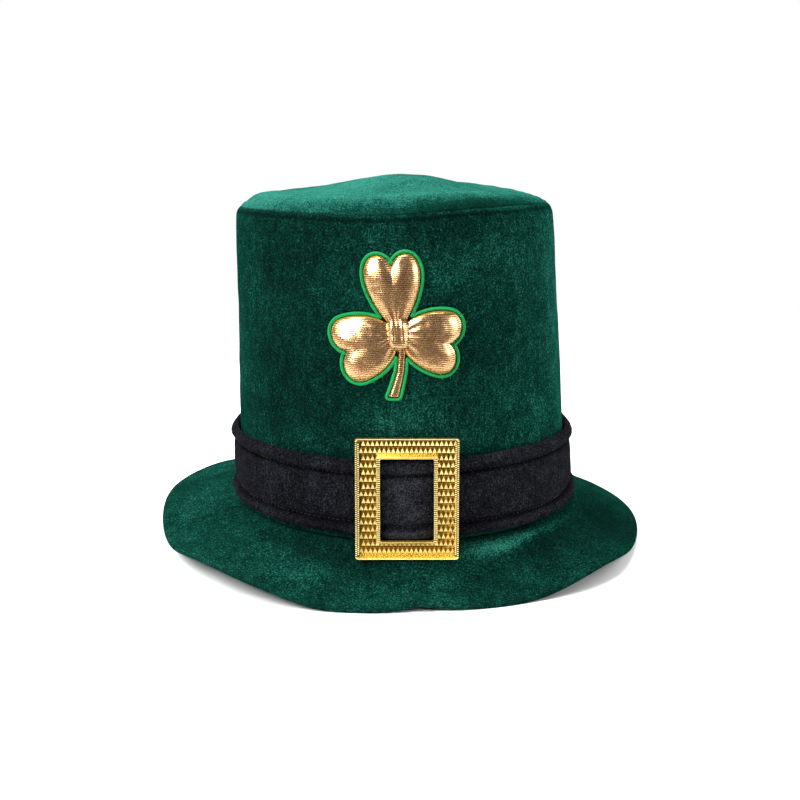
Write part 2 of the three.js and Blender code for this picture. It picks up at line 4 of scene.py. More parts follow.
import bmesh
import bpy
import numpy as np
from mathutils import Matrix, Vector, noise
from mathutils.bvhtree import BVHTree


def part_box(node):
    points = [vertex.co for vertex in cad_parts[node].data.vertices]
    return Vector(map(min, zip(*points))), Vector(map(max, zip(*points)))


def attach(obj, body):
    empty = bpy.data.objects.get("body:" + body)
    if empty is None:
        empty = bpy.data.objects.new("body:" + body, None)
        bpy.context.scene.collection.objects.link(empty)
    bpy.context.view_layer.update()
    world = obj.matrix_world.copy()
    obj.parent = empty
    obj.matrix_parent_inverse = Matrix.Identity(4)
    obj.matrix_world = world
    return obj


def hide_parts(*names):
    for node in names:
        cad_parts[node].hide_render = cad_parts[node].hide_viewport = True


bl_info = {
    "name": "Leprechaun hat",
    "version": (1, 0, 0),
    "blender": (4, 5, 0),
    "location": "3D View > Sidebar > Hat",
    "description": "Sews, trims and lights a green velour leprechaun hat over its packed solids",
    "category": "Object",
}

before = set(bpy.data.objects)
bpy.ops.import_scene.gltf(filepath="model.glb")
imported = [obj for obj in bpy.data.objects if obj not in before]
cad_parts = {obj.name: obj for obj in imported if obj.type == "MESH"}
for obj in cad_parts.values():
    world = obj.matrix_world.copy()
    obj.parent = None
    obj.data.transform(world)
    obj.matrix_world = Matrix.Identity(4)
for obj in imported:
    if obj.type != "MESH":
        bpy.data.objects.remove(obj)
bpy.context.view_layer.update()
MM = 0.001


def srgb(red, green, blue):
    """A colour given in 0 to 255 steps, as the linear values a shader takes."""
    shares = [value / 255 for value in (red, green, blue)]
    return tuple(s / 12.92 if s < 0.04045 else ((s + 0.055) / 1.055) ** 2.4 for s in shares)


def length(name, default_mm, description):
    return bpy.props.FloatProperty(
        name=name, description=description, default=default_mm * MM, min=0, precision=5,
        subtype="DISTANCE", unit="LENGTH")


def colour(name, default, description):
    return bpy.props.FloatVectorProperty(
        name=name, description=description, default=srgb(*default), min=0, max=1, size=3,
        subtype="COLOR")


class HatSizes(bpy.types.PropertyGroup):
    """Sizes of the hat's finer shapes"""

    crown_ripple: length("Crown ripple", 0.5, "Depth of the soft ripples in the crown's cloth")
    tip_ripple: length("Tip ripple", 0.7, "Depth of the soft ripples in the top panel")
    seam_pucker: length("Seam pucker", 0.5, "Depth of the gathers along the crown's top seam")
    brim_ripple: length("Brim ripple", 0.8, "Depth of the soft ripples in the padded brim")
    hem_groove: length("Brim hem groove", 0.5, "Depth of the hollow behind the brim's rolled edge")
    hem_width: length("Brim hem", 5.5, "Width of the brim's rolled edge")
    hem_notch: length("Brim notch", 1.6, "Depth of the pinch in the brim's front edge")
    band_dip: length("Band dip", 0.6, "How far the band's seams sink inside the buckle")
    hem_drop: length("Hem drop", 2.6, "How far the band's lower hem hangs down inside the buckle")
    band_ripple: length("Band ripple", 0.35, "Depth of the soft ripples in the band")
    band_groove: length("Band groove", 1.7, "How deep the thread pulls the band in")
    hem_swell: length("Hem swell", 0.9, "How far the band's hems bulge between thread and edge")
    top_hem: length("Upper band hem", 8, "Height of the hem along the band's upper edge")
    bottom_hem: length("Lower band hem", 7, "Height of the hem along the band's lower edge")
    stitch_pitch: length("Stitch pitch", 3.1, "Distance from one band stitch to the next")
    stitch_length: length("Stitch", 2.3, "Length of thread that shows in a band stitch")
    stitch_thickness: length("Band thread", 0.45, "Thickness of the band's sewing thread")
    buckle_width: length("Buckle width", 55.3, "Across the buckle")
    buckle_height: length("Buckle height", 65.9, "Up the buckle")
    buckle_thickness: length("Buckle thickness", 3.2, "From the buckle's back to its rim")
    buckle_drop: length("Buckle drop", 1.25, "How far the buckle has slid down the band")
    side_bar: length("Buckle side bar", 13.4, "Width of the bars beside the window")
    end_bar: length("Buckle upper bar", 11.1, "Height of the bar above the window")
    low_bar: length("Buckle lower bar", 9.8, "Height of the bar below the window")
    stud_relief: length("Stud relief", 1.8, "Height of a pyramid stud")
    stud_lean: length("Stud lean", 1.35, "How far a stud's tip leans up the buckle")
    stud_width: length("Stud width", 2.44, "Distance from one stud to the next in a row")
    stud_pitch: length("Stud row", 3.89, "Distance from one row of studs to the next")
    stud_foot: length("Stud foot", 5.06, "From the buckle's lower edge to the lowest row of studs")
    buckle_corner: length("Buckle corner", 0.75, "Rounding of the window's corners")
    mill_pitch: length("Milling pitch", 1.13, "Distance between the fine ribs on the upright rims")
    leaf_length: length("Leaf length", 41, "From the knot's middle to the lobes of the upper leaf")
    leaf_width: length("Leaf width", 34, "Across a leaf")
    leaf_loft: length("Leaf loft", 5.2, "Height of the padding in a leaf")
    leaf_crease: length("Leaf crease", 1.0, "Depth of the crease that runs in from a leaf's notch")
    leaf_gather: length("Leaf gathers", 0.5, "Depth of the folds where a leaf meets the knot")
    knot_width: length("Knot width", 11.8, "Across the knot")
    knot_height: length("Knot height", 17.5, "Up the knot")
    knot_loft: length("Knot loft", 5.4, "How far the knot stands out")
    stem_length: length("Stem length", 34, "From the knot's middle to the stem's foot")
    stem_width: length("Stem width", 4.6, "Across the stem where it is widest")
    stem_loft: length("Stem loft", 1.8, "Thickness of the stem")
    edging_width: length("Edging width", 1.8, "Across the satin stitch")
    edging_height: length("Edging height", 1.5, "How far the satin stitch stands out")
    satin_pitch: length("Satin pitch", 0.42, "Distance between threads of the satin stitch")
    stray_length: length("Loose end", 1.5, "Length of a loose end of the satin stitch")
    piece_gap: length("Gap", 0.3, "Room between pieces that touch")


class HatColours(bpy.types.PropertyGroup):
    """Colours of the hat's finishes"""

    # The dark and light greens are the pile's own tone and also painted shade and light: painted shade
    # in the top seam and under the band, painted light on the top panel and a painted sheen down the
    # crown's right edge
    green_dark: colour("Green, dark", (4, 19, 16), "Velour with its pile brushed away")
    green_middle: colour("Green, middle", (8, 48, 39), "Velour")
    green_light: colour("Green, light", (44, 113, 99), "Velour with its pile brushed up")
    # The band's dark is the pile's own dark tone and also the painted shade in its grooves
    black_dark: colour("Black, dark", (6, 6, 8), "Band in its grooves")
    black_middle: colour("Black, middle", (21, 22, 26), "Band")
    black_light: colour("Black, light", (48, 50, 56), "Lit pile of the band")
    backing: colour("Backing", (16, 47, 39), "Knitted back of the velour")
    lame: colour("Gold cloth", (255, 218, 164), "Metal threads of the shamrock")
    lame_groove: colour("Gold cloth, grooves", (152, 97, 50), "Between the ribs of the gold cloth")
    lame_edge: colour("Gold cloth, edge", (250, 186, 60), "Cut edge of the gold cloth")
    satin: colour("Edging", (14, 158, 84), "Satin stitch round the shamrock")
    # Painted shade between the threads of the satin stitch
    satin_gap_shade: colour("Edging, dark", (4, 96, 50), "Between the threads of the satin stitch")
    # The buckle's golds are painted light and shade: a painted highlight on crests and lit faces,
    # painted light on slopes that face up, and painted shade in the tray between the studs and on faces
    # turned away; random wear also dulls towards that dark gold
    gold: colour("Gold plastic", (255, 236, 158), "Crests and lit faces of the buckle")
    gold_lit_slope: colour("Gold plastic, slopes", (255, 204, 66), "Sloping faces of the buckle's rims")
    gold_shade_and_wear: colour("Gold plastic, deep", (84, 61, 12), "Tray between the buckle's studs")
    thread: colour("Band thread", (6, 6, 8), "Sewing thread of the band")
    floor: colour("Floor", (250, 250, 249), "The studio's floor")


def deselect():
    if bpy.context.mode != "OBJECT":
        bpy.ops.object.mode_set(mode="OBJECT")
    bpy.ops.object.select_all(action="DESELECT")


def only(obj):
    deselect()
    obj.select_set(True)
    bpy.context.view_layer.objects.active = obj


def new_object(name, mesh):
    obj = bpy.data.objects.new(name, mesh)
    bpy.context.scene.collection.objects.link(obj)
    only(obj)
    return obj


def points_of(mesh):
    points = np.empty(len(mesh.vertices) * 3)
    mesh.vertices.foreach_get("co", points)
    return points.reshape(-1, 3)


def move_points(obj, points):
    obj.data.vertices.foreach_set("co", np.asarray(points, float).ravel())
    obj.data.update()


def normals_of(mesh):
    normals = np.empty(len(mesh.vertices) * 3)
    mesh.vertex_normals.foreach_get("vector", normals)
    return normals.reshape(-1, 3)


def point_values(obj, name, values):
    """Writes one number a point, for a material to read."""
    attribute = obj.data.attributes.new(name, "FLOAT", "POINT")
    attribute.data.foreach_set("value", np.asarray(values, np.float32))


def apply(obj, kind, **settings):
    only(obj)
    modifier = obj.modifiers.new(kind.title(), kind)
    for name, value in settings.items():
        setattr(modifier, name, value)
    bpy.ops.object.modifier_apply(modifier=modifier.name)


def repeat(obj, count, offset):
    apply(obj, "ARRAY", count=count, use_relative_offset=False, use_constant_offset=True,
          constant_offset_displace=offset)


def edit_all(obj):
    """Opens an object for editing with all of it selected."""
    only(obj)
    bpy.ops.object.mode_set(mode="EDIT")
    bpy.ops.mesh.select_all(action="SELECT")


def from_faces(name, points, faces):
    mesh = bpy.data.meshes.new(name)
    mesh.from_pydata([tuple(point) for point in points], [], faces)
    return new_object(name, mesh)


def loop_faces(first, second, count):
    """Four-sided faces between two closed loops of points, given where each loop starts."""
    ahead = [(k + 1) % count for k in range(count)]
    return [(first + k, first + j, second + j, second + k) for k, j in enumerate(ahead)]


def join(objects):
    deselect()
    for obj in objects:
        obj.select_set(True)
    bpy.context.view_layer.objects.active = objects[0]
    bpy.ops.object.join()
    return objects[0]


def settle(obj, finishes, slot, *nodes):
    """Gives a finished piece its materials and its place in the frame."""
    only(obj)
    bpy.ops.object.transform_apply(location=True, rotation=True, scale=True)
    bpy.ops.object.shade_smooth_by_angle(angle=math.radians(50))
    while len(obj.data.materials) < len(finishes):
        obj.data.materials.append(None)
    for index, finish in enumerate(finishes):
        obj.data.materials[index] = finish
    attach(obj, "root")
    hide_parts(*nodes)


def cloth_from(node, name, levels):
    """A merged, four-sided and subdivided copy of a node's mesh."""
    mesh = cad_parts[node].data.copy()
    mesh.name = name
    mesh.materials.clear()
    cloth = bmesh.new()
    cloth.from_mesh(mesh)
    bmesh.ops.remove_doubles(cloth, verts=cloth.verts, dist=0.01 * MM)
    bmesh.ops.join_triangles(
        cloth, faces=cloth.faces, angle_face_threshold=math.radians(60),
        angle_shape_threshold=math.radians(60))
    cloth.to_mesh(mesh)
    cloth.free()
    obj = new_object(name, mesh)
    apply(obj, "SUBSURF", levels=levels, render_levels=levels)
    return obj


def ripples(points, wave, seed):
    """Smooth noise from about -1 to 1, with hills about a wave apart."""
    shift = Vector((seed * 7.1, seed * 3.3, seed * 5.7))
    return np.array([noise.noise(Vector(p) / wave + shift) for p in points]) * 1.6


def layered(points, *waves):
    """Ripples of several lengths in mm laid over one another, each with its share."""
    return sum(ripples(points, wave * MM, seed) * share for wave, seed, share in waves)


def bump_at(values, middle, reach):
    """1 at the middle, falling off smoothly to either side."""
    return np.exp(-(((values - middle) / reach) ** 2))


def turn_gap(turns, turn):
    return (turns - turn + 180) % 360 - 180


def by_turn(turns, turn, reach):
    """1 at a turn, falling off smoothly round the crown to either side."""
    return bump_at(turn_gap(turns, turn), 0, reach)


def ring_middle(node, low, high):
    points = points_of(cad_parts[node].data)
    ring = points[(points[:, 2] >= low) & (points[:, 2] <= high)]
    return (ring.min(0) + ring.max(0)) / 2


WALL_LOW, WALL_HIGH = (float(corner.z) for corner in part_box("crown_wall"))
WALL_FOOT = ring_middle("crown_wall", WALL_LOW, WALL_LOW + 2 * MM)
CROWN_LEAN = 6 / 178  # how far the crown leans sideways for its height


def axis_at(height):
    """Where the crown's leaning middle is at a height, across and back."""
    rise = np.asarray(height) - WALL_FOOT[2]
    return WALL_FOOT[0] - CROWN_LEAN * rise, WALL_FOOT[1] + 0 * rise


def turns_of(points):
    """Degrees round the crown, from the wearer's left, with the front at 270."""
    across, back = axis_at(points[:, 2])
    return np.degrees(np.arctan2(points[:, 1] - back, points[:, 0] - across)) % 360


def radii_of(points):
    across, back = axis_at(points[:, 2])
    return np.hypot(points[:, 0] - across, points[:, 1] - back)


def outward_of(points):
    """The level direction away from the crown's middle at each point."""
    across, back = axis_at(points[:, 2])
    away = np.stack([points[:, 0] - across, points[:, 1] - back, 0 * across], 1)
    return away / radii_of(points)[:, None]


FRONT = 270  # the turn of the hat's front, in degrees
RING_STEPS = np.arange(0, 360, 7.5)  # turns at which edges are read off the solids
SEAM_GATHERS = 74  # small folds in one round of the crown's top seam
SHAMROCK_HEIGHT = 143  # mm from the floor to the middle of the part that the shamrock holds flat
BAND_TOP = 78  # mm from the floor to where the crown comes out of the band


def tree_of(obj):
    return BVHTree.FromObject(obj, bpy.context.evaluated_depsgraph_get())


def on_outside(tree, turn, height, reach=0.25):
    """The outermost point of a piece at a turn and a height, and its outward direction."""
    across, back = axis_at(height)
    out = Vector((math.cos(math.radians(turn)), math.sin(math.radians(turn)), 0))
    hit = tree.ray_cast(Vector((float(across), float(back), height)) + out * reach, -out)
    if hit[0] is None:
        raise RuntimeError(f"nothing to sew to at {turn:.0f} degrees, {height:.3f} m")
    return hit[0], out


def node(tree, kind, feeds=None, **settings):
    """A node with its settings, each input fed by a socket or set to a value."""
    made = tree.nodes.new(kind)
    for name, value in settings.items():
        setattr(made, name, value)
    for key, value in (feeds or {}).items():
        if isinstance(value, bpy.types.NodeSocket):
            tree.links.new(value, made.inputs[key])
        else:
            made.inputs[key].default_value = value
    return made


def maths(tree, operation, first, second=0.0, clamp=False):
    made = node(tree, "ShaderNodeMath", {0: first, 1: second}, operation=operation)
    made.use_clamp = clamp
    return made.outputs[0]


def mixed(tree, share, first, second, mode="MIX"):
    feeds = {0: share, 6: first, 7: second}
    made = tree.nodes.new("ShaderNodeMix")
    made.data_type, made.blend_type = "RGBA", mode
    for key, value in feeds.items():
        if isinstance(value, bpy.types.NodeSocket):
            tree.links.new(value, made.inputs[key])
        elif key == 0:
            made.inputs[key].default_value = value
        else:
            made.inputs[key].default_value = (*value[:3], 1)
    return made.outputs[2]


def stretched(tree, value, low, high, to_low=0.0, to_high=1.0):
    feeds = {0: value, 1: low, 2: high, 3: to_low, 4: to_high}
    return node(tree, "ShaderNodeMapRange", feeds).outputs[0]


def times(tree, first, second):
    return maths(tree, "MULTIPLY", first, second)


def plus(tree, first, second):
    return maths(tree, "ADD", first, second)


def speckle(tree, place, scale, detail=2.0, rough=0.5, warp=0.0):
    feeds = {"Vector": place, "Scale": scale, "Detail": detail, "Roughness": rough, "Distortion": warp}
    return node(tree, "ShaderNodeTexNoise", feeds).outputs[0]


def painted(tree, name):
    """The values that a mesh carries under a name."""
    return node(tree, "ShaderNodeAttribute", attribute_name=name).outputs["Fac"]


def object_place(tree):
    return node(tree, "ShaderNodeTexCoord").outputs["Object"]


def shared_group(name, inputs, outputs):
    """A shader node group, with the sockets of its input and output nodes."""
    tree = bpy.data.node_groups.new(name, "ShaderNodeTree")
    kinds = {"COLOR": "NodeSocketColor", "FLOAT": "NodeSocketFloat"}
    for label, kind, default in inputs:
        socket = tree.interface.new_socket(name=label, in_out="INPUT", socket_type=kinds[kind])
        socket.default_value = (*default, 1) if kind == "COLOR" else default
    for label, kind in outputs:
        tree.interface.new_socket(name=label, in_out="OUTPUT", socket_type=kinds[kind])
    return tree, node(tree, "NodeGroupInput").outputs, node(tree, "NodeGroupOutput").inputs


def once(name, build):
    return bpy.data.node_groups.get(name) or build(name)


def pile_group(name):
    """Short pile: brushed patches, mottling, streaks running up the cloth, painted highlights on the
    fibre tips, and the painted light and shade that each point carries.
    """
    tree, given, result = shared_group(name, [
        ("Dark", "COLOR", (0, 0, 0)), ("Middle", "COLOR", (0.5, 0.5, 0.5)),
        ("Light", "COLOR", (1, 1, 1)), ("Patch Scale", "FLOAT", 24.0),
        ("Grain Scale", "FLOAT", 1150.0), ("Contrast", "FLOAT", 1.0),
    ], [("Color", "COLOR"), ("Height", "FLOAT")])
    place = object_place(tree)
    along = node(tree, "ShaderNodeMapping", {"Vector": place, "Scale": (1, 1, 0.3)}).outputs[0]
    patches = speckle(tree, place, given["Patch Scale"], 3, 0.55, 0.7)
    mottling = speckle(tree, place, times(tree, given["Patch Scale"], 6.5), 3, 0.6, 0.5)
    streaks = speckle(tree, along, times(tree, given["Patch Scale"], 16), 2, 0.6, 0.3)
    grain = speckle(tree, place, given["Grain Scale"], 2, 0.7)
    total = 0.0
    for part, weight in ((patches, 0.6), (mottling, 0.55), (streaks, 0.4), (grain, 2.3)):
        total = plus(tree, total, times(tree, maths(tree, "SUBTRACT", part, 0.5), weight))
    # Each point's value adds its brushed patches and its painted light and shade
    total = plus(tree, times(tree, total, given["Contrast"]), painted(tree, "nap_and_painted_light"))
    shade = mixed(tree, stretched(tree, total, -0.5, 0.1), given["Dark"], given["Middle"])
    shade = mixed(tree, stretched(tree, total, 0.1, 0.75), shade, given["Light"])
    # Painted highlight: specks of light on the fibre tips
    tips = times(tree, stretched(tree, grain, 0.6, 0.8), 0.14)
    tree.links.new(mixed(tree, tips, shade, given["Light"]), result["Color"])
    height = plus(tree, times(tree, mottling, 0.6), times(tree, grain, 0.5))
    tree.links.new(height, result["Height"])
    return tree


FLECK_SCALE = 1900.0  # fineness of the flecks in a ribbed cloth


def rib_group(name):
    """Fine cords lying level across a cloth, each a little uneven."""
    tree, given, result = shared_group(name, [
        ("Pitch", "FLOAT", 1.1 * MM), ("Unevenness", "FLOAT", 1.2), ("Slub Scale", "FLOAT", 260.0),
    ], [("Height", "FLOAT"), ("Thread", "FLOAT")])
    place = object_place(tree)
    upright = node(tree, "ShaderNodeSeparateXYZ", {0: place}).outputs["Z"]
    slubs = speckle(tree, place, given["Slub Scale"], 2)
    wobble = times(tree, slubs, times(tree, given["Unevenness"], 2.0))
    angle = plus(tree, maths(tree, "DIVIDE", times(tree, upright, 2 * math.pi), given["Pitch"]), wobble)
    wave = plus(tree, times(tree, maths(tree, "SINE", angle), 0.5), 0.5)
    flecks = speckle(tree, place, FLECK_SCALE, 2, 0.7)
    tree.links.new(plus(tree, wave, times(tree, flecks, 0.5)), result["Height"])
    glint = stretched(tree, flecks, 0.25, 0.65, 0.5, 1.0)
    tree.links.new(times(tree, wave, glint), result["Thread"])
    return tree


def wear_group(name):
    """Slow and fine unevenness of a handled surface."""
    tree, given, result = shared_group(
        name, [("Scale", "FLOAT", 120.0), ("Fine Scale", "FLOAT", 1400.0)],
        [("Slow", "FLOAT"), ("Fine", "FLOAT")])
    place = object_place(tree)
    tree.links.new(speckle(tree, place, given["Scale"], 3, 0.55, 0.4), result["Slow"])
    tree.links.new(speckle(tree, place, given["Fine Scale"], 2, 0.6), result["Fine"])
    return tree


def placed(tree, group, values):
    made = tree.nodes.new("ShaderNodeGroup")
    made.node_tree = group
    for name, value in values.items():
        made.inputs[name].default_value = (*value, 1) if hasattr(value, "__len__") else value
    return made.outputs


def new_finish(name, **constants):
    """A material, its node tree and its Principled shader with the constants set."""
    finish = bpy.data.materials.new(name)
    finish.use_nodes = True
    shader = finish.node_tree.nodes["Principled BSDF"]
    for label, value in constants.items():
        socket = shader.inputs[label.replace("_", " ")]
        socket.default_value = (*value, 1) if hasattr(value, "__len__") else value
    return finish, finish.node_tree, shader.inputs


def bumped(tree, shader, height, strength, distance):
    feeds = {"Strength": strength, "Distance": distance, "Height": height}
    tree.links.new(node(tree, "ShaderNodeBump", feeds).outputs[0], shader["Normal"])


def velour(name, dark, middle, light, sheen, tint, contrast=1.0, patch=24.0):
    finish, tree, shader = new_finish(
        name, Sheen_Weight=sheen, Sheen_Roughness=0.35, Sheen_Tint=tint, Specular_IOR_Level=0.0)
    pile = placed(tree, once("Brushed pile", pile_group), {
        "Dark": dark, "Middle": middle, "Light": light, "Contrast": contrast, "Patch Scale": patch})
    tree.links.new(pile["Color"], shader["Base Color"])
    tree.links.new(stretched(tree, pile["Height"], 0.3, 0.8, 0.95, 0.75), shader["Roughness"])
    bumped(tree, shader, pile["Height"], 0.8, 0.7 * MM)
    return finish


def knitted_backing(colours):
    finish, tree, shader = new_finish("Knitted backing", Specular_IOR_Level=0.2, Sheen_Weight=0.1)
    ribs = placed(tree, once("Level ribs", rib_group), {"Pitch": 1.4 * MM, "Unevenness": 0.5})
    wear = placed(tree, once("Handling", wear_group), {"Scale": 40.0})
    base = tuple(colours.backing)
    cloth = mixed(tree, ribs["Thread"], [value * 0.55 for value in base], base)
    faded = times(tree, wear["Slow"], 0.5)
    tree.links.new(mixed(tree, faded, cloth, [value * 1.5 for value in base]), shader["Base Color"])
    tree.links.new(stretched(tree, wear["Fine"], 0.3, 0.7, 0.8, 0.95), shader["Roughness"])
    bumped(tree, shader, ribs["Height"], 0.5, 0.4 * MM)
    return finish


def gold_cloth(colours):
    finish, tree, shader = new_finish("Ribbed gold cloth", Sheen_Weight=0.05)
    ribs = placed(tree, once("Level ribs", rib_group), {"Pitch": 1.08 * MM, "Unevenness": 1.1})
    wear = placed(tree, once("Handling", wear_group), {"Scale": 90.0, "Fine Scale": 1700.0})
    rim = painted(tree, "rim")
    groove, crest, edge = (tuple(dye) for dye in (colours.lame_groove, colours.lame, colours.lame_edge))
    worn = stretched(tree, wear["Slow"], 0.45, 0.75, 0.0, 0.35)
    toned = mixed(tree, worn, mixed(tree, ribs["Thread"], groove, crest), groove)
    tree.links.new(mixed(tree, rim, toned, edge), shader["Base Color"])
    tree.links.new(stretched(tree, rim, 0, 1, 0.96, 0.45), shader["Metallic"])
    tree.links.new(stretched(tree, wear["Fine"], 0.3, 0.7, 0.2, 0.34), shader["Roughness"])
    bumped(tree, shader, ribs["Height"], 0.32, 0.16 * MM)
    return finish


def gold_plastic(colours):
    finish, tree, shader = new_finish("Moulded gold plastic", Coat_Weight=0.15, Coat_Roughness=0.1)
    wear = placed(tree, once("Handling", wear_group), {"Scale": 150.0, "Fine Scale": 2400.0})
    # Each face's relief value is its painted light, from painted shade in the tray to painted
    # highlights on crests
    relief = painted(tree, "relief")
    deep, sloping, crest = (tuple(dye) for dye in (colours.gold_shade_and_wear, colours.gold_lit_slope, colours.gold))
    slope = mixed(tree, stretched(tree, relief, 0.0, 0.5), deep, sloping)
    body = mixed(tree, stretched(tree, relief, 0.5, 1.0), slope, crest)
    # Random dulling towards the dark gold, as wear
    dulled = stretched(tree, wear["Slow"], 0.5, 0.8, 0.0, 0.25)
    tree.links.new(mixed(tree, dulled, body, deep), shader["Base Color"])
    # Faces painted lit are less metallic, so their painted colour shows
    tree.links.new(stretched(tree, relief, 0.4, 0.9, 0.85, 0.3), shader["Metallic"])
    tree.links.new(stretched(tree, wear["Fine"], 0.3, 0.7, 0.2, 0.34), shader["Roughness"])
    bumped(tree, shader, wear["Slow"], 0.1, 0.1 * MM)
    return finish


def sewing_thread(name, light, dark, shine):
    finish, tree, shader = new_finish(name, Specular_IOR_Level=shine)
    wear = placed(tree, once("Handling", wear_group), {"Scale": 300.0, "Fine Scale": 2600.0})
    lit = [min(1, value * 1.4 + 0.01) for value in light]
    strand = mixed(tree, stretched(tree, wear["Slow"], 0.4, 0.8, 0.0, 0.4), light, lit)
    # Painted shade between threads, by each point's gap value
    tree.links.new(mixed(tree, painted(tree, "gap_shade"), strand, dark), shader["Base Color"])
    tree.links.new(stretched(tree, wear["Fine"], 0.3, 0.7, 0.35, 0.6), shader["Roughness"])
    bumped(tree, shader, wear["Fine"], 0.3, 0.1 * MM)
    return finish


# Where the crown's pile is brushed and where light and shade are painted on it: turn and
# reach in degrees, height and tall in mm, and light as what is added to the pile's shade,
# from dark below 0 to light above it. The row at 345 degrees is a painted sheen down the
# crown's right edge; the other rows are partly the pile's own patches, partly painted
# light and shade
CROWN_PILE_AND_LIGHT = (
    {"turn": 236, "height": 168, "reach": 22, "tall": 34, "light": -0.16},
    {"turn": 272, "height": 165, "reach": 26, "tall": 16, "light": 0.08},
    {"turn": 300, "height": 180, "reach": 16, "tall": 16, "light": 0.05},
    {"turn": 312, "height": 172, "reach": 16, "tall": 26, "light": 0.16},
    {"turn": 345, "height": 130, "reach": 14, "tall": 80, "light": 0.34},
    {"turn": 226, "height": 92, "reach": 26, "tall": 28, "light": -0.16},
    {"turn": 236, "height": 82, "reach": 8, "tall": 8, "light": 0.16},
    {"turn": 268, "height": 90, "reach": 16, "tall": 14, "light": 0.36},
    {"turn": 310, "height": 115, "reach": 20, "tall": 50, "light": 0.08},
    {"turn": 236, "height": 115, "reach": 20, "tall": 40, "light": -0.18},
    {"turn": 290, "height": 100, "reach": 12, "tall": 22, "light": -0.1},
    {"turn": 90, "height": 120, "reach": 50, "tall": 50, "light": 0.1},
    {"turn": 140, "height": 80, "reach": 30, "tall": 40, "light": -0.15},
)
# The same for the brim, by how far out from the crown's middle, in mm, and how wide.
# The dark rows close in at 240 and 312 degrees are painted shadow under the band, the
# narrow light row at 303 degrees a painted strip of light below the band and the dark
# row at 345 degrees painted shade on the brim's right; the other rows are partly the
# pile's own patches, partly painted light and shade
BRIM_PILE_AND_LIGHT = (
    {"turn": 205, "out": 128, "reach": 16, "wide": 16, "light": 0.04},
    {"turn": 238, "out": 122, "reach": 14, "wide": 14, "light": 0.14},
    {"turn": 270, "out": 128, "reach": 20, "wide": 12, "light": 0.02},
    {"turn": 306, "out": 125, "reach": 14, "wide": 18, "light": -0.14},
    {"turn": 345, "out": 125, "reach": 24, "wide": 22, "light": -0.6},
    {"turn": 303, "out": 105, "reach": 16, "wide": 3, "light": 0.55},
    {"turn": 312, "out": 113, "reach": 18, "wide": 5, "light": -0.25},
    {"turn": 240, "out": 108, "reach": 30, "wide": 6, "light": -0.3},
    {"turn": 90, "out": 125, "reach": 40, "wide": 18, "light": 0.1},
)


def seam_heights(turns):
    """Height of the crown's top seam at each turn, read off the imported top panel."""
    points = points_of(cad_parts["crown_tip"].data)
    radii = radii_of(points)
    rim = points[radii > radii.max() - 3 * MM]
    rim_turns = turns_of(rim)
    lowest = [rim[np.abs(turn_gap(rim_turns, step)) < 4][:, 2].min() for step in RING_STEPS]
    return at_turns(turns, lowest)


def brushed(points, pile_and_light, along, middle, reach):
    """The pile's own shade and the painted light and shade that a table's rows give each point, by its
    turn and by how far along it lies.
    """
    turns = turns_of(points)
    return sum(
        row["light"] * by_turn(turns, row["turn"], row["reach"])
        * bump_at(along, row[middle], row[reach]) for row in pile_and_light)


def green_velour(colours, name="Green velour", contrast=1.15):
    return bpy.data.materials.get(name) or velour(
        name, tuple(colours.green_dark), tuple(colours.green_middle), tuple(colours.green_light),
        0.06, srgb(20, 170, 140), contrast)


def inner_faces(obj, wanted):
    """Gives the faces whose middles and normals pass the test the second material."""
    for face in obj.data.polygons:
        face.material_index = 1 if wanted(face.center, face.normal) else 0


class HAT_OT_crown(bpy.types.Operator):
    """Sew the tall side of the hat from foam-backed velour"""

    bl_idname = "hat.crown"
    bl_label = "Crown wall"

    def execute(self, context):
        sizes, colours = context.scene.hat_sizes, context.scene.hat_colours
        wall = cloth_from("crown_wall", "velour_crown", 2)
        points = points_of(wall.data)
        turns, outward, heights = turns_of(points), outward_of(points), points[:, 2] / MM
        rounded = outward * 90 * MM + points * [0, 0, 1]
        soft = layered(rounded, (26, 1, 0.65), (11, 2, 0.35))
        behind_shamrock = by_turn(turns, FRONT, 24) * bump_at(heights, SHAMROCK_HEIGHT, 45)
        free = np.clip((heights - BAND_TOP) / 18, 0, 1) * (1 - 0.7 * behind_shamrock)
        gathers = np.sin(np.radians(turns) * SEAM_GATHERS + ripples(points, 30 * MM, 4) * 3)
        pulled = gathers * bump_at(heights, WALL_HIGH / MM - 6, 7) * sizes.seam_pucker
        points += outward * (soft * free * sizes.crown_ripple + pulled * free)[:, None]
        points[points[:, 2] < WALL_LOW + 3 * MM, 2] -= sizes.piece_gap * 1.2
        move_points(wall, points)
        # Painted shade along the top seam, on top of the pile and painted light from the table
        seam_shade = bump_at(points[:, 2], seam_heights(turns_of(points)), 1.0 * MM)
        pile_and_light = brushed(points, CROWN_PILE_AND_LIGHT, points[:, 2] / MM, "height", "tall")
        point_values(wall, "nap_and_painted_light", pile_and_light - 0.14 - 0.45 * seam_shade)
        settle(wall, [green_velour(colours), knitted_backing(colours)], "green_velour", "crown_wall")

        def faces_in(middle, normal):
            across, back = axis_at(middle.z)
            x, y = middle.x - across, middle.y - back
            return x * normal.x + y * normal.y < -0.2 * math.hypot(x, y)

        inner_faces(wall, faces_in)
        return {"FINISHED"}


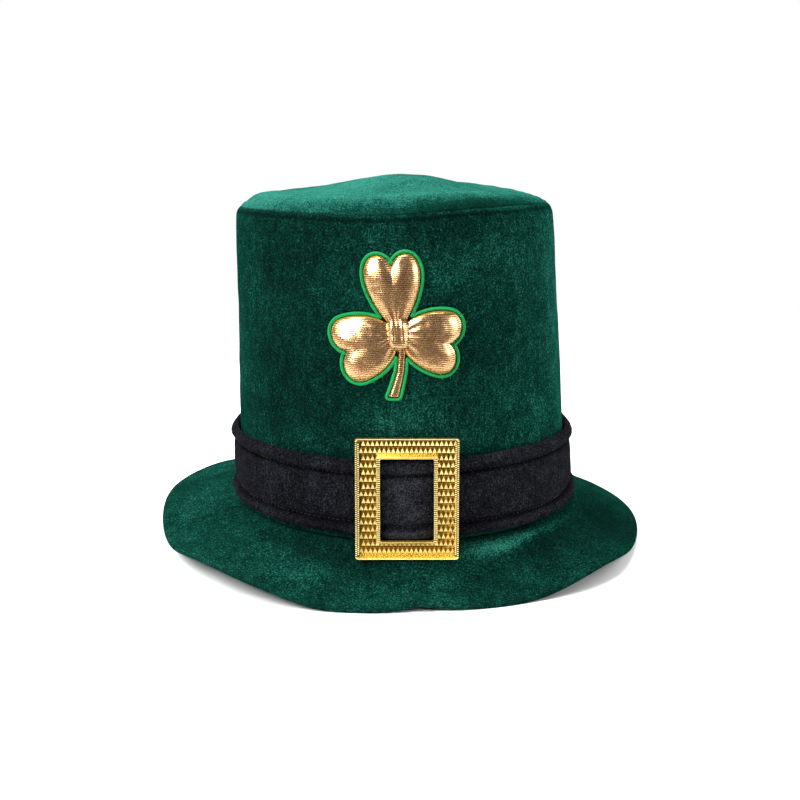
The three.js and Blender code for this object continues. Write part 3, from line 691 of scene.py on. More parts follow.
class HAT_OT_tip(bpy.types.Operator):
    """Sew the puffed top panel with its gathered seam"""

    bl_idname = "hat.tip"
    bl_label = "Top panel"

    def execute(self, context):
        sizes, colours = context.scene.hat_sizes, context.scene.hat_colours
        tip = cloth_from("crown_tip", "velour_tip", 2)
        points = points_of(tip.data)
        turns, radii = turns_of(points), radii_of(points)
        inward = 1 - radii / radii.max()
        gathers = np.sin(np.radians(turns) * SEAM_GATHERS + ripples(points, 30 * MM, 4) * 3) * 0.6
        gathers += np.sin(np.radians(turns) * 31 + ripples(points, 40 * MM, 5) * 2) * 0.4
        pucker = gathers * bump_at(inward, 0.03, 0.09) * sizes.seam_pucker
        soft = layered(points * [1, 1, 0.2], (30, 6, 0.7), (12, 7, 0.3))
        hidden = normals_of(tip.data)[:, 2] < 0.3
        tuck = sizes.piece_gap * np.where(hidden, 7, 1.5) * np.clip(1 - inward / 0.035, 0, 1)
        moved = points + outward_of(points) * tuck[:, None]
        moved[:, 2] += soft * sizes.tip_ripple * np.clip(inward / 0.1, 0, 1) + pucker
        move_points(tip, moved)
        # Painted shade along the top seam
        seam_shade = bump_at(points[:, 2], seam_heights(turns), 1.5 * MM) * (inward < 0.03)
        front = by_turn(turns, 275, 52)
        # Painted light: the whole panel is lighter as it faces up, a little more to the left and less
        # to the right; painted shade where the front roll turns down to the seam, a painted shadow
        # inside the seam on the right front and a painted highlight along the front roll's ridge
        light = 0.4 + 0.12 * by_turn(turns, 200, 40) - 0.08 * by_turn(turns, 330, 40)
        light -= 0.4 * front * np.clip(1 - inward / 0.12, 0, 1)
        light -= 0.35 * by_turn(turns, 308, 22) * bump_at(inward, 0, 0.05)
        light += 0.1 * front * bump_at(inward, 0.15, 0.03)
        point_values(tip, "nap_and_painted_light", light - 0.5 * seam_shade)
        # A softer copy of the green velour for the panel that is painted lighter
        lit_pile = green_velour(colours, "Green velour, lit from above", 0.7)
        settle(tip, [lit_pile, bpy.data.materials["Knitted backing"]], "green_velour", "crown_tip")
        inner_faces(tip, lambda middle, normal: normal.z < -0.3 and middle.z > WALL_HIGH - 12 * MM)
        return {"FINISHED"}


NOTCH_TURN = 272  # where the brim's front edge is pinched, in degrees


class HAT_OT_brim(bpy.types.Operator):
    """Sew the padded brim with its rolled edge"""

    bl_idname = "hat.brim"
    bl_label = "Brim"

    def execute(self, context):
        sizes, colours = context.scene.hat_sizes, context.scene.hat_colours
        brim = cloth_from("brim", "velour_brim", 2)
        points, normals = points_of(brim.data), normals_of(brim.data)
        radii, turns = radii_of(points), turns_of(points)
        sectors = (turns / 2).astype(int) % 180
        edge = [radii[sectors == sector].max() for sector in range(180)]
        inside = np.interp(turns, np.arange(180) * 2 + 1, edge, period=360) - radii
        groove = bump_at(inside, sizes.hem_width, sizes.hem_width * 0.3)
        groove *= (0.75 + 0.25 * ripples(points, 9 * MM, 9)) * sizes.hem_groove
        soft = layered(points, (34, 10, 0.6), (13, 11, 0.4)) * np.clip(normals[:, 2] * 3, 0, 1)
        free = np.clip(inside / (6 * MM), 0.2, 1) * np.clip((radii - 112 * MM) / (14 * MM), 0, 1)
        lift = soft * sizes.brim_ripple * free - groove * np.abs(normals[:, 2])
        lift[(points[:, 2] < 1.5 * MM) & (normals[:, 2] < 0)] = 0
        points += normals * lift[:, None]
        pinch = by_turn(turns, NOTCH_TURN, 1.5) * bump_at(inside, 0, sizes.hem_width)
        points[:, 2] = np.maximum(points[:, 2] + pinch * sizes.hem_notch, 0)
        move_points(brim, points)
        # Brushed pile with painted shadow, shade and light from the table above
        pile_and_light = brushed(points, BRIM_PILE_AND_LIGHT, radii_of(points) / MM, "out", "wide")
        point_values(brim, "nap_and_painted_light", pile_and_light - 0.1)
        settle(brim, [green_velour(colours)], "green_velour", "brim")
        return {"FINISHED"}


def band_edges():
    """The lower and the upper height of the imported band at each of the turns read."""
    points = points_of(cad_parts["hat_band"].data)
    turns = turns_of(points)
    near = [points[np.abs(turn_gap(turns, step)) < 2.5][:, 2] for step in RING_STEPS]
    return np.array([z.min() for z in near]), np.array([z.max() for z in near])


def at_turns(turns, heights):
    return np.interp(turns, RING_STEPS, heights, period=360)


HEM_REACH = 12  # degrees to each side of the buckle over which the lower hem hangs down
DIP_REACH = 9  # the same for the dip in both seams
THREAD_RADIUS = 103  # mm from the crown's middle, for the count of stitches


class HAT_OT_band(bpy.types.Operator):
    """Fold, stitch and fit the black band"""

    bl_idname = "hat.band"
    bl_label = "Band"

    def execute(self, context):
        sizes, colours = context.scene.hat_sizes, context.scene.hat_colours
        band = cloth_from("hat_band", "velour_band", 3)
        low, high = band_edges()
        points = points_of(band.data)
        turns, outward = turns_of(points), outward_of(points)
        foot, top = at_turns(turns, low), at_turns(turns, high)
        puckers = 0.8 + 0.3 * np.sin(np.radians(turns) * 210 + ripples(points, 20 * MM, 12))
        depth, swell = np.zeros(len(points)), np.zeros(len(points))
        for edge, hem in ((foot, sizes.bottom_hem), (top, -sizes.top_hem)):
            groove = edge + hem - sizes.band_dip * by_turn(turns, FRONT, DIP_REACH)
            depth += bump_at(points[:, 2], groove, 1.25 * MM) * puckers * sizes.band_groove
            swell += bump_at(points[:, 2], edge + hem * 0.5, hem * 0.3)
        swell *= sizes.hem_swell * (0.85 + 0.3 * ripples(points, 25 * MM, 15))
        soft = layered(points, (22, 13, 0.6), (8, 14, 0.4))
        facing_out = np.clip((outward * normals_of(band.data)).sum(1) * 2 + 0.5, 0, 1)
        points += outward * ((soft * sizes.band_ripple - depth + swell) * facing_out)[:, None]
        below = np.clip(1 - (points[:, 2] - foot) / (2 * sizes.bottom_hem), 0, 1)
        points[:, 2] -= sizes.hem_drop * below * by_turn(turns, FRONT, HEM_REACH)
        move_points(band, points)
        # Painted shade in the hem grooves; lighter inside the buckle's window and to the right of the
        # buckle
        shade = -0.6 * np.clip(depth / sizes.band_groove, 0, 1)
        shade += 0.32 * by_turn(turns, FRONT, 8) + 0.16 * by_turn(turns, 305, 20)
        point_values(band, "nap_and_painted_light", shade - 0.05)
        finish = velour(
            "Black velour", tuple(colours.black_dark), tuple(colours.black_middle),
            tuple(colours.black_light), 0.08, srgb(120, 118, 130), 1.35, 30.0)
        settle(band, [finish], "black_velour", "hat_band")
        stitch_band(sizes, colours, band, low, high)
        return {"FINISHED"}


def seam_point(tree, sizes, turn, groove, drop):
    """The bottom of a hem's groove at a turn, and its outward direction."""
    dip = sizes.band_dip * by_turn(turn, FRONT, DIP_REACH) + drop * by_turn(turn, FRONT, HEM_REACH)
    return on_outside(tree, turn, float(at_turns(turn, groove) - dip))


def stitch_band(sizes, colours, band, low, high):
    """Lays the thread of both hems in their grooves."""
    deselect()
    bpy.ops.mesh.primitive_uv_sphere_add(segments=8, ring_count=6, radius=0.5)
    model = bpy.context.object
    model.scale = (sizes.stitch_length, sizes.stitch_thickness, sizes.stitch_thickness)
    bpy.ops.object.transform_apply(scale=True)
    tree, places = tree_of(band), []
    count = round(2 * math.pi * THREAD_RADIUS * MM / sizes.stitch_pitch)
    for groove, drop in ((low + sizes.bottom_hem, sizes.hem_drop / 2), (high - sizes.top_hem, 0)):
        for k in range(count):
            turn = 360 * (k + 0.5) / count
            point, out = seam_point(tree, sizes, turn, groove, drop)
            ahead, _ = seam_point(tree, sizes, turn + 0.6, groove, drop)
            along = (ahead - point).normalized()
            up = out.cross(along).normalized()
            turned = Matrix((along, out, up)).transposed().to_4x4()
            places.append(Matrix.Translation(point - out * sizes.stitch_thickness * 0.2) @ turned)
    thread = copies(model, places, "band_stitches")
    point_values(thread, "gap_shade", np.zeros(len(thread.data.vertices)))
    finish = sewing_thread("Band thread", tuple(colours.thread), tuple(colours.thread), 0.2)
    settle(thread, [finish], "black_velour")


def copies(model, places, name):
    """One mesh of a small model laid at many places."""
    points = np.hstack([points_of(model.data), np.ones((len(model.data.vertices), 1))])
    faces = [list(face.vertices) for face in model.data.polygons]
    laid = np.vstack([(points @ np.array(place).T)[:, :3] for place in places])
    step = len(points)
    many = [[v + step * k for v in face] for k in range(len(places)) for face in faces]
    bpy.data.objects.remove(model)
    return from_faces(name, laid, many)


# The buckle's section, from the window's back edge out and round, in mm: how far each loop lies
# from the window or the outside at the sides, at the top and at the bottom, and its height
BUCKLE_SECTION = (
    {"rim": "window", "sides": 0, "top": 0, "bottom": 0, "height": 0.0},
    {"rim": "window", "sides": 0, "top": 0, "bottom": 0, "height": 2.6},
    {"rim": "window", "sides": 0.15, "top": 0.15, "bottom": 0.15, "height": 2.95},
    {"rim": "window", "sides": 0.5, "top": 0.5, "bottom": 0.5, "height": 2.95},
    {"rim": "window", "sides": 0.6, "top": 0.6, "bottom": 0.6, "height": 2.65},
    {"rim": "window", "sides": 0.85, "top": 0.85, "bottom": 0.85, "height": 2.65},
    {"rim": "window", "sides": 0.95, "top": 0.95, "bottom": 0.95, "height": 2.9},
    {"rim": "window", "sides": 1.2, "top": 1.3, "bottom": 1.15, "height": 2.85},
    {"rim": "window", "sides": 2.2, "top": 3.0, "bottom": 1.6, "height": 1.1},
    {"rim": "outside", "sides": 2.3, "top": 1.7, "bottom": 3.4, "height": 1.1},
    {"rim": "outside", "sides": 1.2, "top": 1.2, "bottom": 1.2, "height": 2.6},
    {"rim": "outside", "sides": 0.7, "top": 0.7, "bottom": 0.75, "height": 2.7},
    {"rim": "outside", "sides": 0.6, "top": 0.6, "bottom": 0.6, "height": 3.2},
    {"rim": "outside", "sides": 0.15, "top": 0.15, "bottom": 0.15, "height": 3.2},
    {"rim": "outside", "sides": 0, "top": 0, "bottom": 0, "height": 2.9},
    {"rim": "outside", "sides": 0, "top": 0, "bottom": 0, "height": 0.3},
    {"rim": "outside", "sides": 0.3, "top": 0.3, "bottom": 0.3, "height": 0.0},
    {"rim": "window", "sides": 0, "top": 0, "bottom": 0, "height": 0.0},
)
TRAY_FLOOR = 1.1
# The inner crests are painted less bright than the outer ones
LOW_CREST = 2.78  # crests below this height, in mm, are the duller inner ones
STUD_COLUMNS = 20
STUD_ROWS = 16
BUCKLE_TILT = 4.5  # degrees that the buckle leans back


def window_of(sizes):
    """Half width, half height and middle of the buckle's window."""
    return (
        sizes.buckle_width / 2 - sizes.side_bar,
        (sizes.buckle_height - sizes.end_bar - sizes.low_bar) / 2,
        (sizes.low_bar - sizes.end_bar) / 2)


def buckle_rows(sizes):
    """Half width, half height, middle and height of each loop of the frame."""
    outside = (sizes.buckle_width / 2, sizes.buckle_height / 2, 0)
    window = window_of(sizes)
    deep = sizes.buckle_thickness / (3.2 * MM)
    for row in BUCKLE_SECTION:
        sign, base = (1, window) if row["rim"] == "window" else (-1, outside)
        half_height = base[1] + sign * (row["top"] + row["bottom"]) / 2 * MM
        middle = base[2] + sign * (row["top"] - row["bottom"]) / 2 * MM
        yield base[0] + sign * row["sides"] * MM, half_height, middle, row["height"] * MM * deep


def buckle_frame(sizes):
    """The frame, drawn out loop by loop from the edge of its window."""
    rows = list(buckle_rows(sizes))
    deselect()
    bpy.ops.mesh.primitive_plane_add(size=2, location=(0, rows[0][2], 0))
    plate = bpy.context.object
    plate.scale = (rows[0][0], rows[0][1], 1)
    bpy.ops.object.transform_apply(location=True, scale=True)
    edit_all(plate)
    bpy.ops.mesh.bevel(offset=sizes.buckle_corner, segments=3, affect="VERTICES")
    bpy.ops.mesh.select_all(action="SELECT")
    bpy.ops.mesh.delete(type="ONLY_FACE")
    bpy.ops.mesh.select_all(action="SELECT")
    for before, after in zip(rows, rows[1:]):
        bpy.ops.mesh.extrude_edges_move()
        bpy.ops.transform.resize(
            value=(after[0] / before[0], after[1] / before[1], 1), center_override=(0, before[2], 0))
        bpy.ops.transform.translate(value=(0, after[2] - before[2], after[3] - before[3]))
    bpy.ops.mesh.select_all(action="SELECT")
    bpy.ops.mesh.remove_doubles(threshold=0.001 * MM)
    bpy.ops.mesh.normals_make_consistent(inside=False)
    bpy.ops.object.mode_set(mode="OBJECT")
    return plate


def buckle_studs(sizes):
    """A brick pattern of leaning pyramids over the tray."""
    step = (sizes.stud_width, sizes.stud_pitch)
    deselect()
    bpy.ops.mesh.primitive_cone_add(
        vertices=4, radius1=math.sqrt(0.5), depth=1, rotation=(0, 0, math.pi / 4))
    stud = bpy.context.object
    bpy.ops.object.transform_apply(rotation=True)
    stud.scale = (step[0] * 0.97, step[1] * 0.88, sizes.stud_relief)
    bpy.ops.object.transform_apply(scale=True)
    bpy.ops.object.mode_set(mode="EDIT")
    bpy.ops.mesh.select_all(action="DESELECT")
    bpy.ops.object.mode_set(mode="OBJECT")
    for vertex in stud.data.vertices:
        vertex.select = vertex.co.z > 0
    bpy.ops.object.mode_set(mode="EDIT")
    bpy.ops.transform.translate(value=(0, sizes.stud_lean, 0))
    bpy.ops.object.mode_set(mode="OBJECT")
    floor = (TRAY_FLOOR - 0.05) * MM + sizes.stud_relief / 2
    stud.location = (-STUD_COLUMNS * step[0] / 2, sizes.stud_foot - sizes.buckle_height / 2, floor)
    bpy.ops.object.transform_apply(location=True)
    repeat(stud, STUD_COLUMNS + 1, (step[0], 0, 0))
    bpy.ops.object.duplicate()
    second = bpy.context.object
    second.location = (step[0] / 2, step[1], 0)
    bpy.ops.object.transform_apply(location=True)
    studs = join([stud, second])
    repeat(studs, STUD_ROWS // 2, (0, 2 * step[1], 0))
    drop_studs(studs, sizes, step)
    return studs


def drop_studs(studs, sizes, step):
    """Takes away the studs that would stand in the window or past the rims."""
    half_width, half_height, middle = window_of(sizes)
    room = (sizes.buckle_width / 2 - 1.9 * MM, sizes.buckle_height / 2)
    shapes = bmesh.new()
    shapes.from_mesh(studs.data)
    seen, gone = set(), []
    for start in shapes.verts:
        if start.index in seen:
            continue
        island, queue = [], [start]
        while queue:
            vertex = queue.pop()
            if vertex.index in seen:
                continue
            seen.add(vertex.index)
            island.append(vertex)
            queue += [edge.other_vert(vertex) for edge in vertex.link_edges]
        lowest = [v.co for v in island if v.co.z < (TRAY_FLOOR + 0.2) * MM]
        x = sum(p.x for p in lowest) / len(lowest)
        y = sum(p.y for p in lowest) / len(lowest)
        beside = abs(x) > half_width + step[0] * 0.6
        under = y - middle <= -half_height - step[1] * 0.15
        over = y - middle >= half_height + step[1] * 0.8
        if not (beside or under or over) or abs(x) > room[0] or abs(y) > room[1]:
            gone += island
        elif abs(x) < half_width and under:
            for vertex in island:
                vertex.co.y = min(vertex.co.y, middle - half_height - 1.2 * MM)
    bmesh.ops.delete(shapes, geom=gone, context="VERTS")
    shapes.to_mesh(studs.data)
    shapes.free()


# Columns of fine ribs on the upright rims: how far in they stand from the rim, and their tops, in mm
MILLED_COLUMNS = (
    {"rim": "outer", "inset": 0.5, "top": 3.42},
    {"rim": "outer", "inset": 1.7, "top": 3.05},
    {"rim": "window", "inset": 0.6, "top": 3.2},
    {"rim": "window", "inset": 1.65, "top": 2.95},
)
RIB_DEEP = 1.1
RIB_WIDE = 0.84


def milled_columns(sizes):
    """Fine ribs on the upright rims, two columns on each side of both rims."""
    deselect()
    bpy.ops.mesh.primitive_cube_add(size=1)
    rib = bpy.context.object
    rib.scale = (RIB_WIDE * MM, sizes.mill_pitch * 0.52, RIB_DEEP * MM)
    bpy.ops.object.transform_apply(scale=True)
    half_width, half_height, middle = window_of(sizes)
    made = []
    for side in (-1, 1):
        for row in MILLED_COLUMNS:
            inset = row["inset"] * MM
            if row["rim"] == "outer":
                across, centre = sizes.buckle_width / 2 - inset, 0
                tall = sizes.buckle_height - 2 * inset - 0.4 * MM
            else:
                across, centre = half_width + inset, middle
                tall = 2 * (half_height + inset)
            count = int(tall / sizes.mill_pitch)
            lowest = centre - (count - 1) / 2 * sizes.mill_pitch
            column = new_object("milling", rib.data.copy())
            column.location = (side * across, lowest, (row["top"] - RIB_DEEP / 2) * MM)
            bpy.ops.object.transform_apply(location=True)
            repeat(column, count, (0, sizes.mill_pitch, 0))
            made.append(column)
    bpy.data.objects.remove(rib)
    return join(made)


def face_values(obj, name, value_of):
    """Writes one number a face, worked out from its middle and its normal."""
    values = [value_of(face.center, face.normal) for face in obj.data.polygons]
    obj.data.attributes.new(name, "FLOAT", "FACE").data.foreach_set("value", values)


def rim_painted_light(sizes, middle, normal):
    """The light painted on a face of the buckle's frame: painted shade, 0, in the tray, up to a painted
    highlight, 1, on a crest; slopes that face up are painted lit and slopes that face down painted
    shaded.
    """
    height = middle.z / MM
    on_side_bar = abs(middle.x) / sizes.buckle_width > abs(middle.y) / sizes.buckle_height
    if normal.z < 0.05:
        return 0.4
    if height < TRAY_FLOOR + 0.1 or on_side_bar:
        return 0.03
    by_window = abs(middle.y) < (sizes.buckle_height - sizes.end_bar) / 2
    sloped, low = normal.z < 0.9, height < LOW_CREST
    if by_window == (middle.y > 0):
        return 0.5 if sloped else (0.62 if low else 0.95)
    if sloped:
        return 0.12
    return 0.05 if low else (0.75 if by_window else 0.95)


def stud_painted_light(middle, normal):
    """Painted light on a stud: bright on its long lower face, painted shade on its sides and top."""
    if normal.y < -0.2 and abs(normal.x) < 0.4:
        return 1.0
    return 0.16 if abs(normal.x) > 0.4 else 0.3


# Painted highlight on a rib's top, painted shade on its sides
def rib_painted_light(middle, normal):
    return 0.95 if normal.z > 0.8 else 0.2


class HAT_OT_buckle(bpy.types.Operator):
    """Mould the gold buckle: stepped rims, milled sides and a tray of pyramid studs"""

    bl_idname = "hat.buckle"
    bl_label = "Buckle"

    def execute(self, context):
        sizes, colours = context.scene.hat_sizes, context.scene.hat_colours
        rims, studs, ribs = buckle_frame(sizes), buckle_studs(sizes), milled_columns(sizes)
        # Each face gets its painted light and shade as its relief value
        face_values(rims, "relief", lambda middle, normal: rim_painted_light(sizes, middle, normal))
        face_values(studs, "relief", stud_painted_light)
        face_values(ribs, "relief", rib_painted_light)
        buckle = join([rims, studs, ribs])
        buckle.name = buckle.data.name = "gold_buckle"
        tilt = math.radians(BUCKLE_TILT)
        low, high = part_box("buckle")
        turned = Matrix.Rotation(math.pi / 2 - tilt, 4, "X")
        shape = np.array([turned @ Vector(p) for p in points_of(buckle.data)])
        shape += [(low.x + high.x) / 2, low.y, low.z - sizes.buckle_drop] - shape.min(0) * [0, 1, 1]
        move_points(buckle, shape)
        settle(buckle, [gold_plastic(colours)], "gold_plastic", "buckle")
        return {"FINISHED"}


# The way each leaf points, in degrees, its length and width as shares of a leaf's, and how
# far out its sides start from its tip
LEAVES = (
    {"points": 94, "length": 1, "width": 0.88, "base": 0.18},
    {"points": 201, "length": 0.83, "width": 1.03, "base": 0.38},
    {"points": 347, "length": 0.8, "width": 1, "base": 0.36},
)
# The stem's middle line and width, as shares of its length and its widest
STEM_LINE = (
    {"down": 0.1, "side": 0.05, "width": 0.7},
    {"down": 0.33, "side": 0.05, "width": 0.7},
    {"down": 0.6, "side": 0.02, "width": 0.75},
    {"down": 0.85, "side": -0.05, "width": 0.95},
    {"down": 1, "side": -0.1, "width": 1.1},
)
KNOT_SPREAD = 1.14  # how much wider the knot's hidden foot is than the knot that shows
KNOT_ASIDE = 0.3  # mm from the crown's front to the knot's middle
PAD_CLEAR = 0.4  # mm between the crown's cloth and the shamrock's back
STEM_ROWS = 60
STEM_COLUMNS = 9
EDGING_SIDES = 8


def bezier(corners, steps):
    a, b, c, d = (np.array(corner, float) for corner in corners)
    t = (np.arange(steps) / steps)[:, None]
    return a * (1 - t) ** 3 + 3 * b * t * (1 - t) ** 2 + 3 * c * t * t * (1 - t) + d * t ** 3


def leaf_outline(leaf, sizes, steps=30):
    """A heart that points along +Y from its tip, then turned to its place."""
    base = leaf["base"]
    right = [
        [(0, 0), (base, 0.12), (0.5, 0.5), (0.5, 0.76)],
        [(0.5, 0.76), (0.5, 1.03), (0.16, 1.1), (0, 0.87)]]
    left = [[(-x, y) for x, y in reversed(curve)] for curve in reversed(right)]
    flat = np.vstack([bezier(curve, steps) for curve in right + left])
    flat *= [leaf["width"] * sizes.leaf_width, leaf["length"] * sizes.leaf_length]
    return turned_flat(flat, leaf["points"] - 90)


def turned_flat(points, degrees):
    c, s = math.cos(math.radians(degrees)), math.sin(math.radians(degrees))
    x, y = points[..., 0], points[..., 1]
    return np.stack([x * c - y * s, x * s + y * c], -1)


def stem_outline(sizes):
    def side(sign):
        return [(row["side"] * sizes.stem_length + sign * row["width"] * sizes.stem_width / 2,
                 -row["down"] * sizes.stem_length) for row in STEM_LINE]
    return np.array(side(-1) + side(1)[::-1])


def knot_outline(sizes, steps=48):
    angles = np.arange(steps) / steps * 2 * math.pi
    c, s = np.cos(angles), np.sin(angles)
    rounded = np.stack([np.sign(c) * np.abs(c) ** 0.8, np.sign(s) * np.abs(s) ** 0.8], 1)
    return rounded * [sizes.knot_width / 2, sizes.knot_height / 2]


def evenly(points, step, closed=True):
    """A line's points set evenly along it."""
    line = np.vstack([points, points[:1]]) if closed else points
    run = np.concatenate([[0], np.cumsum(np.linalg.norm(np.diff(line, axis=0), axis=1))])
    count = max(3, round(run[-1] / step))
    at = np.arange(count) / count * run[-1] if closed else np.linspace(0, run[-1], count)
    return np.stack([np.interp(at, run, line[:, k]) for k in range(line.shape[1])], 1)


def grown(points, distance):
    along = np.roll(points, -1, 0) - np.roll(points, 1, 0)
    along /= np.linalg.norm(along, axis=1)[:, None]
    return points + np.stack([along[:, 1], -along[:, 0]], 1) * distance


def inside_of(points, outline):
    """Which points lie inside a closed outline."""
    x, y = points[:, 0][:, None], points[:, 1][:, None]
    x0, y0 = outline[:, 0], outline[:, 1]
    x1, y1 = np.roll(x0, -1), np.roll(y0, -1)
    crosses = (y0 > y) != (y1 > y)
    at = (x1 - x0) * (y - y0) / np.where(y1 == y0, 1e-12, y1 - y0) + x0
    return (crosses & (x < at)).sum(1) % 2 == 1


def edging_path(sizes):
    """The middle line of the satin stitch: the outside of all the grown outlines together."""
    away = sizes.piece_gap + sizes.edging_width / 2
    shapes = [leaf_outline(leaf, sizes) for leaf in LEAVES]
    shapes += [stem_outline(sizes), knot_outline(sizes)]
    shapes = [grown(evenly(shape, 0.25 * MM), away) for shape in shapes]
    runs = []
    for k, shape in enumerate(shapes):
        free = ~np.any([inside_of(shape, other) for j, other in enumerate(shapes) if j != k], 0)
        start = int(np.argmin(free)) if not free.all() else 0
        shape, free = np.roll(shape, -start, 0), np.roll(free, -start)
        edges = np.flatnonzero(np.diff(np.concatenate([[0], free.astype(int), [0]])))
        runs += [shape[a:b] for a, b in zip(edges[::2], edges[1::2]) if b - a > 4]
    ordered, rest = [runs[0]], runs[1:]
    while rest:
        end = ordered[-1][-1]
        nearest = min(range(len(rest)), key=lambda k: np.linalg.norm(rest[k][0] - end))
        ordered.append(rest.pop(nearest))
    return np.vstack(ordered)


def crown_patch(sizes, tree, flat):
    """Bends flat points, given across, up and out of the cloth, round the crown's front."""
    knot_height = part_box("shamrock_pad")[0].z + sizes.stem_length
    middle = Vector((*(float(value) for value in axis_at(knot_height)), knot_height))
    radius = (on_outside(tree, FRONT, knot_height)[0] - middle).length
    laid = []
    for across, up, out in flat:
        turn = FRONT + math.degrees((across + KNOT_ASIDE * MM) / radius)
        point, outward = on_outside(tree, turn, knot_height + up)
        laid.append(point + outward * (out + PAD_CLEAR * MM))
    return laid


def pillow_shell(outline, centre, heights, rings=26):
    """A closed pillow over an outline; heights gives how far each point stands out."""
    sizes_in = (1 - np.linspace(0, 1, rings + 1) ** 1.5)[:-1]
    flat = np.array([centre + (outline - centre) * size for size in sizes_in])
    share = np.repeat(sizes_in, len(outline))
    points = flat.reshape(-1, 2)
    out = heights(points, share)
    top = np.column_stack([points, out])
    middle = np.append(centre, heights(centre[None], np.zeros(1))[0])
    under = np.column_stack([outline, np.zeros(len(outline))])
    n, last = len(outline), (rings - 1) * len(outline)
    body = np.vstack([top, middle, under, np.append(centre, 0)])
    faces = []
    for start in range(0, last, n):
        faces += loop_faces(start, start + n, n)
    hub = rings * n
    foot, sole = hub + 1, hub + 1 + n
    for k in range(n):
        j = (k + 1) % n
        faces += [(last + k, last + j, hub), (foot + k, foot + j, j, k), (foot + j, foot + k, sole)]
    edge = np.concatenate([share, [0], np.ones(n), [0]])
    return body, faces, edge


def leaf_heights(leaf, sizes, seed):
    """How far a leaf's cloth stands out: padded, creased from its notch, gathered at its tip."""
    def heights(points, share):
        upright = turned_flat(points, 90 - leaf["points"])
        long, wide = leaf["length"] * sizes.leaf_length, leaf["width"] * sizes.leaf_width
        up, side = upright[:, 1] / long, upright[:, 0] / wide
        puff = np.clip(1 - share ** 2.2, 0, 1) ** 0.55
        crease = sizes.leaf_crease * bump_at(side, 0, 0.11) * np.clip((up - 0.36) / 0.45, 0, 1) ** 1.3
        angle = np.arctan2(side, np.maximum(up, 0.02))
        slim = 0.62 + 0.38 * np.clip(up / 0.5, 0, 1)
        spots = np.column_stack([points, np.zeros(len(points))])
        fine = np.sin(angle * 15 + seed) * bump_at(up, 0, 0.32) * sizes.leaf_gather
        fine += layered(spots, (7, seed, 0.22), (3, seed + 1, 0.09)) * MM
        fine += ripples(spots, 2.2 * MM, seed + 2) * 0.16 * MM * share ** 6
        body = (sizes.leaf_loft * slim - crease) * puff
        return np.maximum(body + fine * np.clip(puff * 1.5, 0, 1), 0)
    return heights


def knot_heights(sizes):
    def heights(points, share):
        puff = np.clip(1 - share ** 2.4, 0, 1) ** 0.7
        side, up = points[:, 0] / sizes.knot_width, points[:, 1] / sizes.knot_height
        folds = (0.15 * np.cos(side * 29 + up * 2.5) - 0.55 * np.cos(side * 10 + up * 1.4)) * MM
        waist = 1 - 0.14 * bump_at(up, 0, 0.2)
        return np.maximum(sizes.knot_loft * puff * waist + folds * puff, 0)
    return heights


def stem_heights(sizes):
    def heights(points, share):
        puff = np.clip(1 - share ** 4, 0, 1) ** 0.5
        spots = np.column_stack([points, np.zeros(len(points))])
        return sizes.stem_loft * (0.25 + 0.75 * puff) + ripples(spots, 3 * MM, 31) * 0.12 * MM * puff
    return heights


def stem_shell(sizes):
    """The stem as rows across its width, closed underneath."""
    down = np.linspace(STEM_LINE[0]["down"], STEM_LINE[-1]["down"], STEM_ROWS)
    side, wide = (
        np.interp(down, [row["down"] for row in STEM_LINE], [row[name] for row in STEM_LINE]) * whole
        for name, whole in (("side", sizes.stem_length), ("width", sizes.stem_width)))
    across = np.linspace(-1, 1, STEM_COLUMNS)
    grid = np.column_stack([
        (side[:, None] + across * wide[:, None] / 2).ravel(),
        np.repeat(-down * sizes.stem_length, STEM_COLUMNS)])
    share = np.maximum(
        np.tile(np.abs(across), STEM_ROWS),
        np.repeat(np.clip((down - 0.96) / 0.04, 0, 1), STEM_COLUMNS))
    out = stem_heights(sizes)(grid, share)
    top, under = np.column_stack([grid, out]), np.column_stack([grid, 0 * out])
    n, wide_by, faces = len(grid), STEM_COLUMNS, []
    for left in range(0, n - wide_by, wide_by):
        right = left + wide_by - 1
        for p in range(left, right):
            q = p + wide_by
            faces += [(p, q, q + 1, p + 1), (n + p, n + p + 1, n + q + 1, n + q)]
        faces += [(left, n + left, n + left + wide_by, left + wide_by)]
        faces += [(right, right + wide_by, n + right + wide_by, n + right)]
    for head in range(wide_by - 1):
        foot = n - wide_by + head
        faces += [(head, head + 1, n + head + 1, n + head), (foot, n + foot, n + foot + 1, foot + 1)]
    return np.vstack([top, under]), faces, np.concatenate([share, share])


class HAT_OT_shamrock(bpy.types.Operator):
    """Pad, gather and tie the gold cloth shamrock"""

    bl_idname = "hat.shamrock"
    bl_label = "Shamrock"

    def execute(self, context):
        sizes, colours = context.scene.hat_sizes, context.scene.hat_colours
        tree, shells = tree_of(bpy.data.objects["velour_crown"]), []
        for k, leaf in enumerate(LEAVES):
            fullest = np.array([[0, leaf["length"] * sizes.leaf_length * 0.62]])
            centre = turned_flat(fullest, leaf["points"] - 90)[0]
            outline = leaf_outline(leaf, sizes, 44)
            shells.append(pillow_shell(outline, centre, leaf_heights(leaf, sizes, 20 + 3 * k)))
        knot = knot_outline(sizes, 72) * KNOT_SPREAD
        shells.append(pillow_shell(knot, np.zeros(2), knot_heights(sizes), 20))
        shells.append(stem_shell(sizes))
        points, faces, rim = [], [], []
        for body, sides, edge in shells:
            faces += [[v + len(points) for v in face] for face in sides]
            points += crown_patch(sizes, tree, body)
            away = np.hypot(body[:, 0], np.maximum(-body[:, 1], 0.6 * body[:, 1]))
            rim += list(np.clip((edge - 0.93) / 0.07, 0, 1) * np.clip((away - 8 * MM) / (2 * MM), 0, 1))
        pad = from_faces("gold_shamrock", points, faces)
        point_values(pad, "rim", rim)
        settle(pad, [gold_cloth(colours)], "gold_cloth", "shamrock_pad")
        return {"FINISHED"}


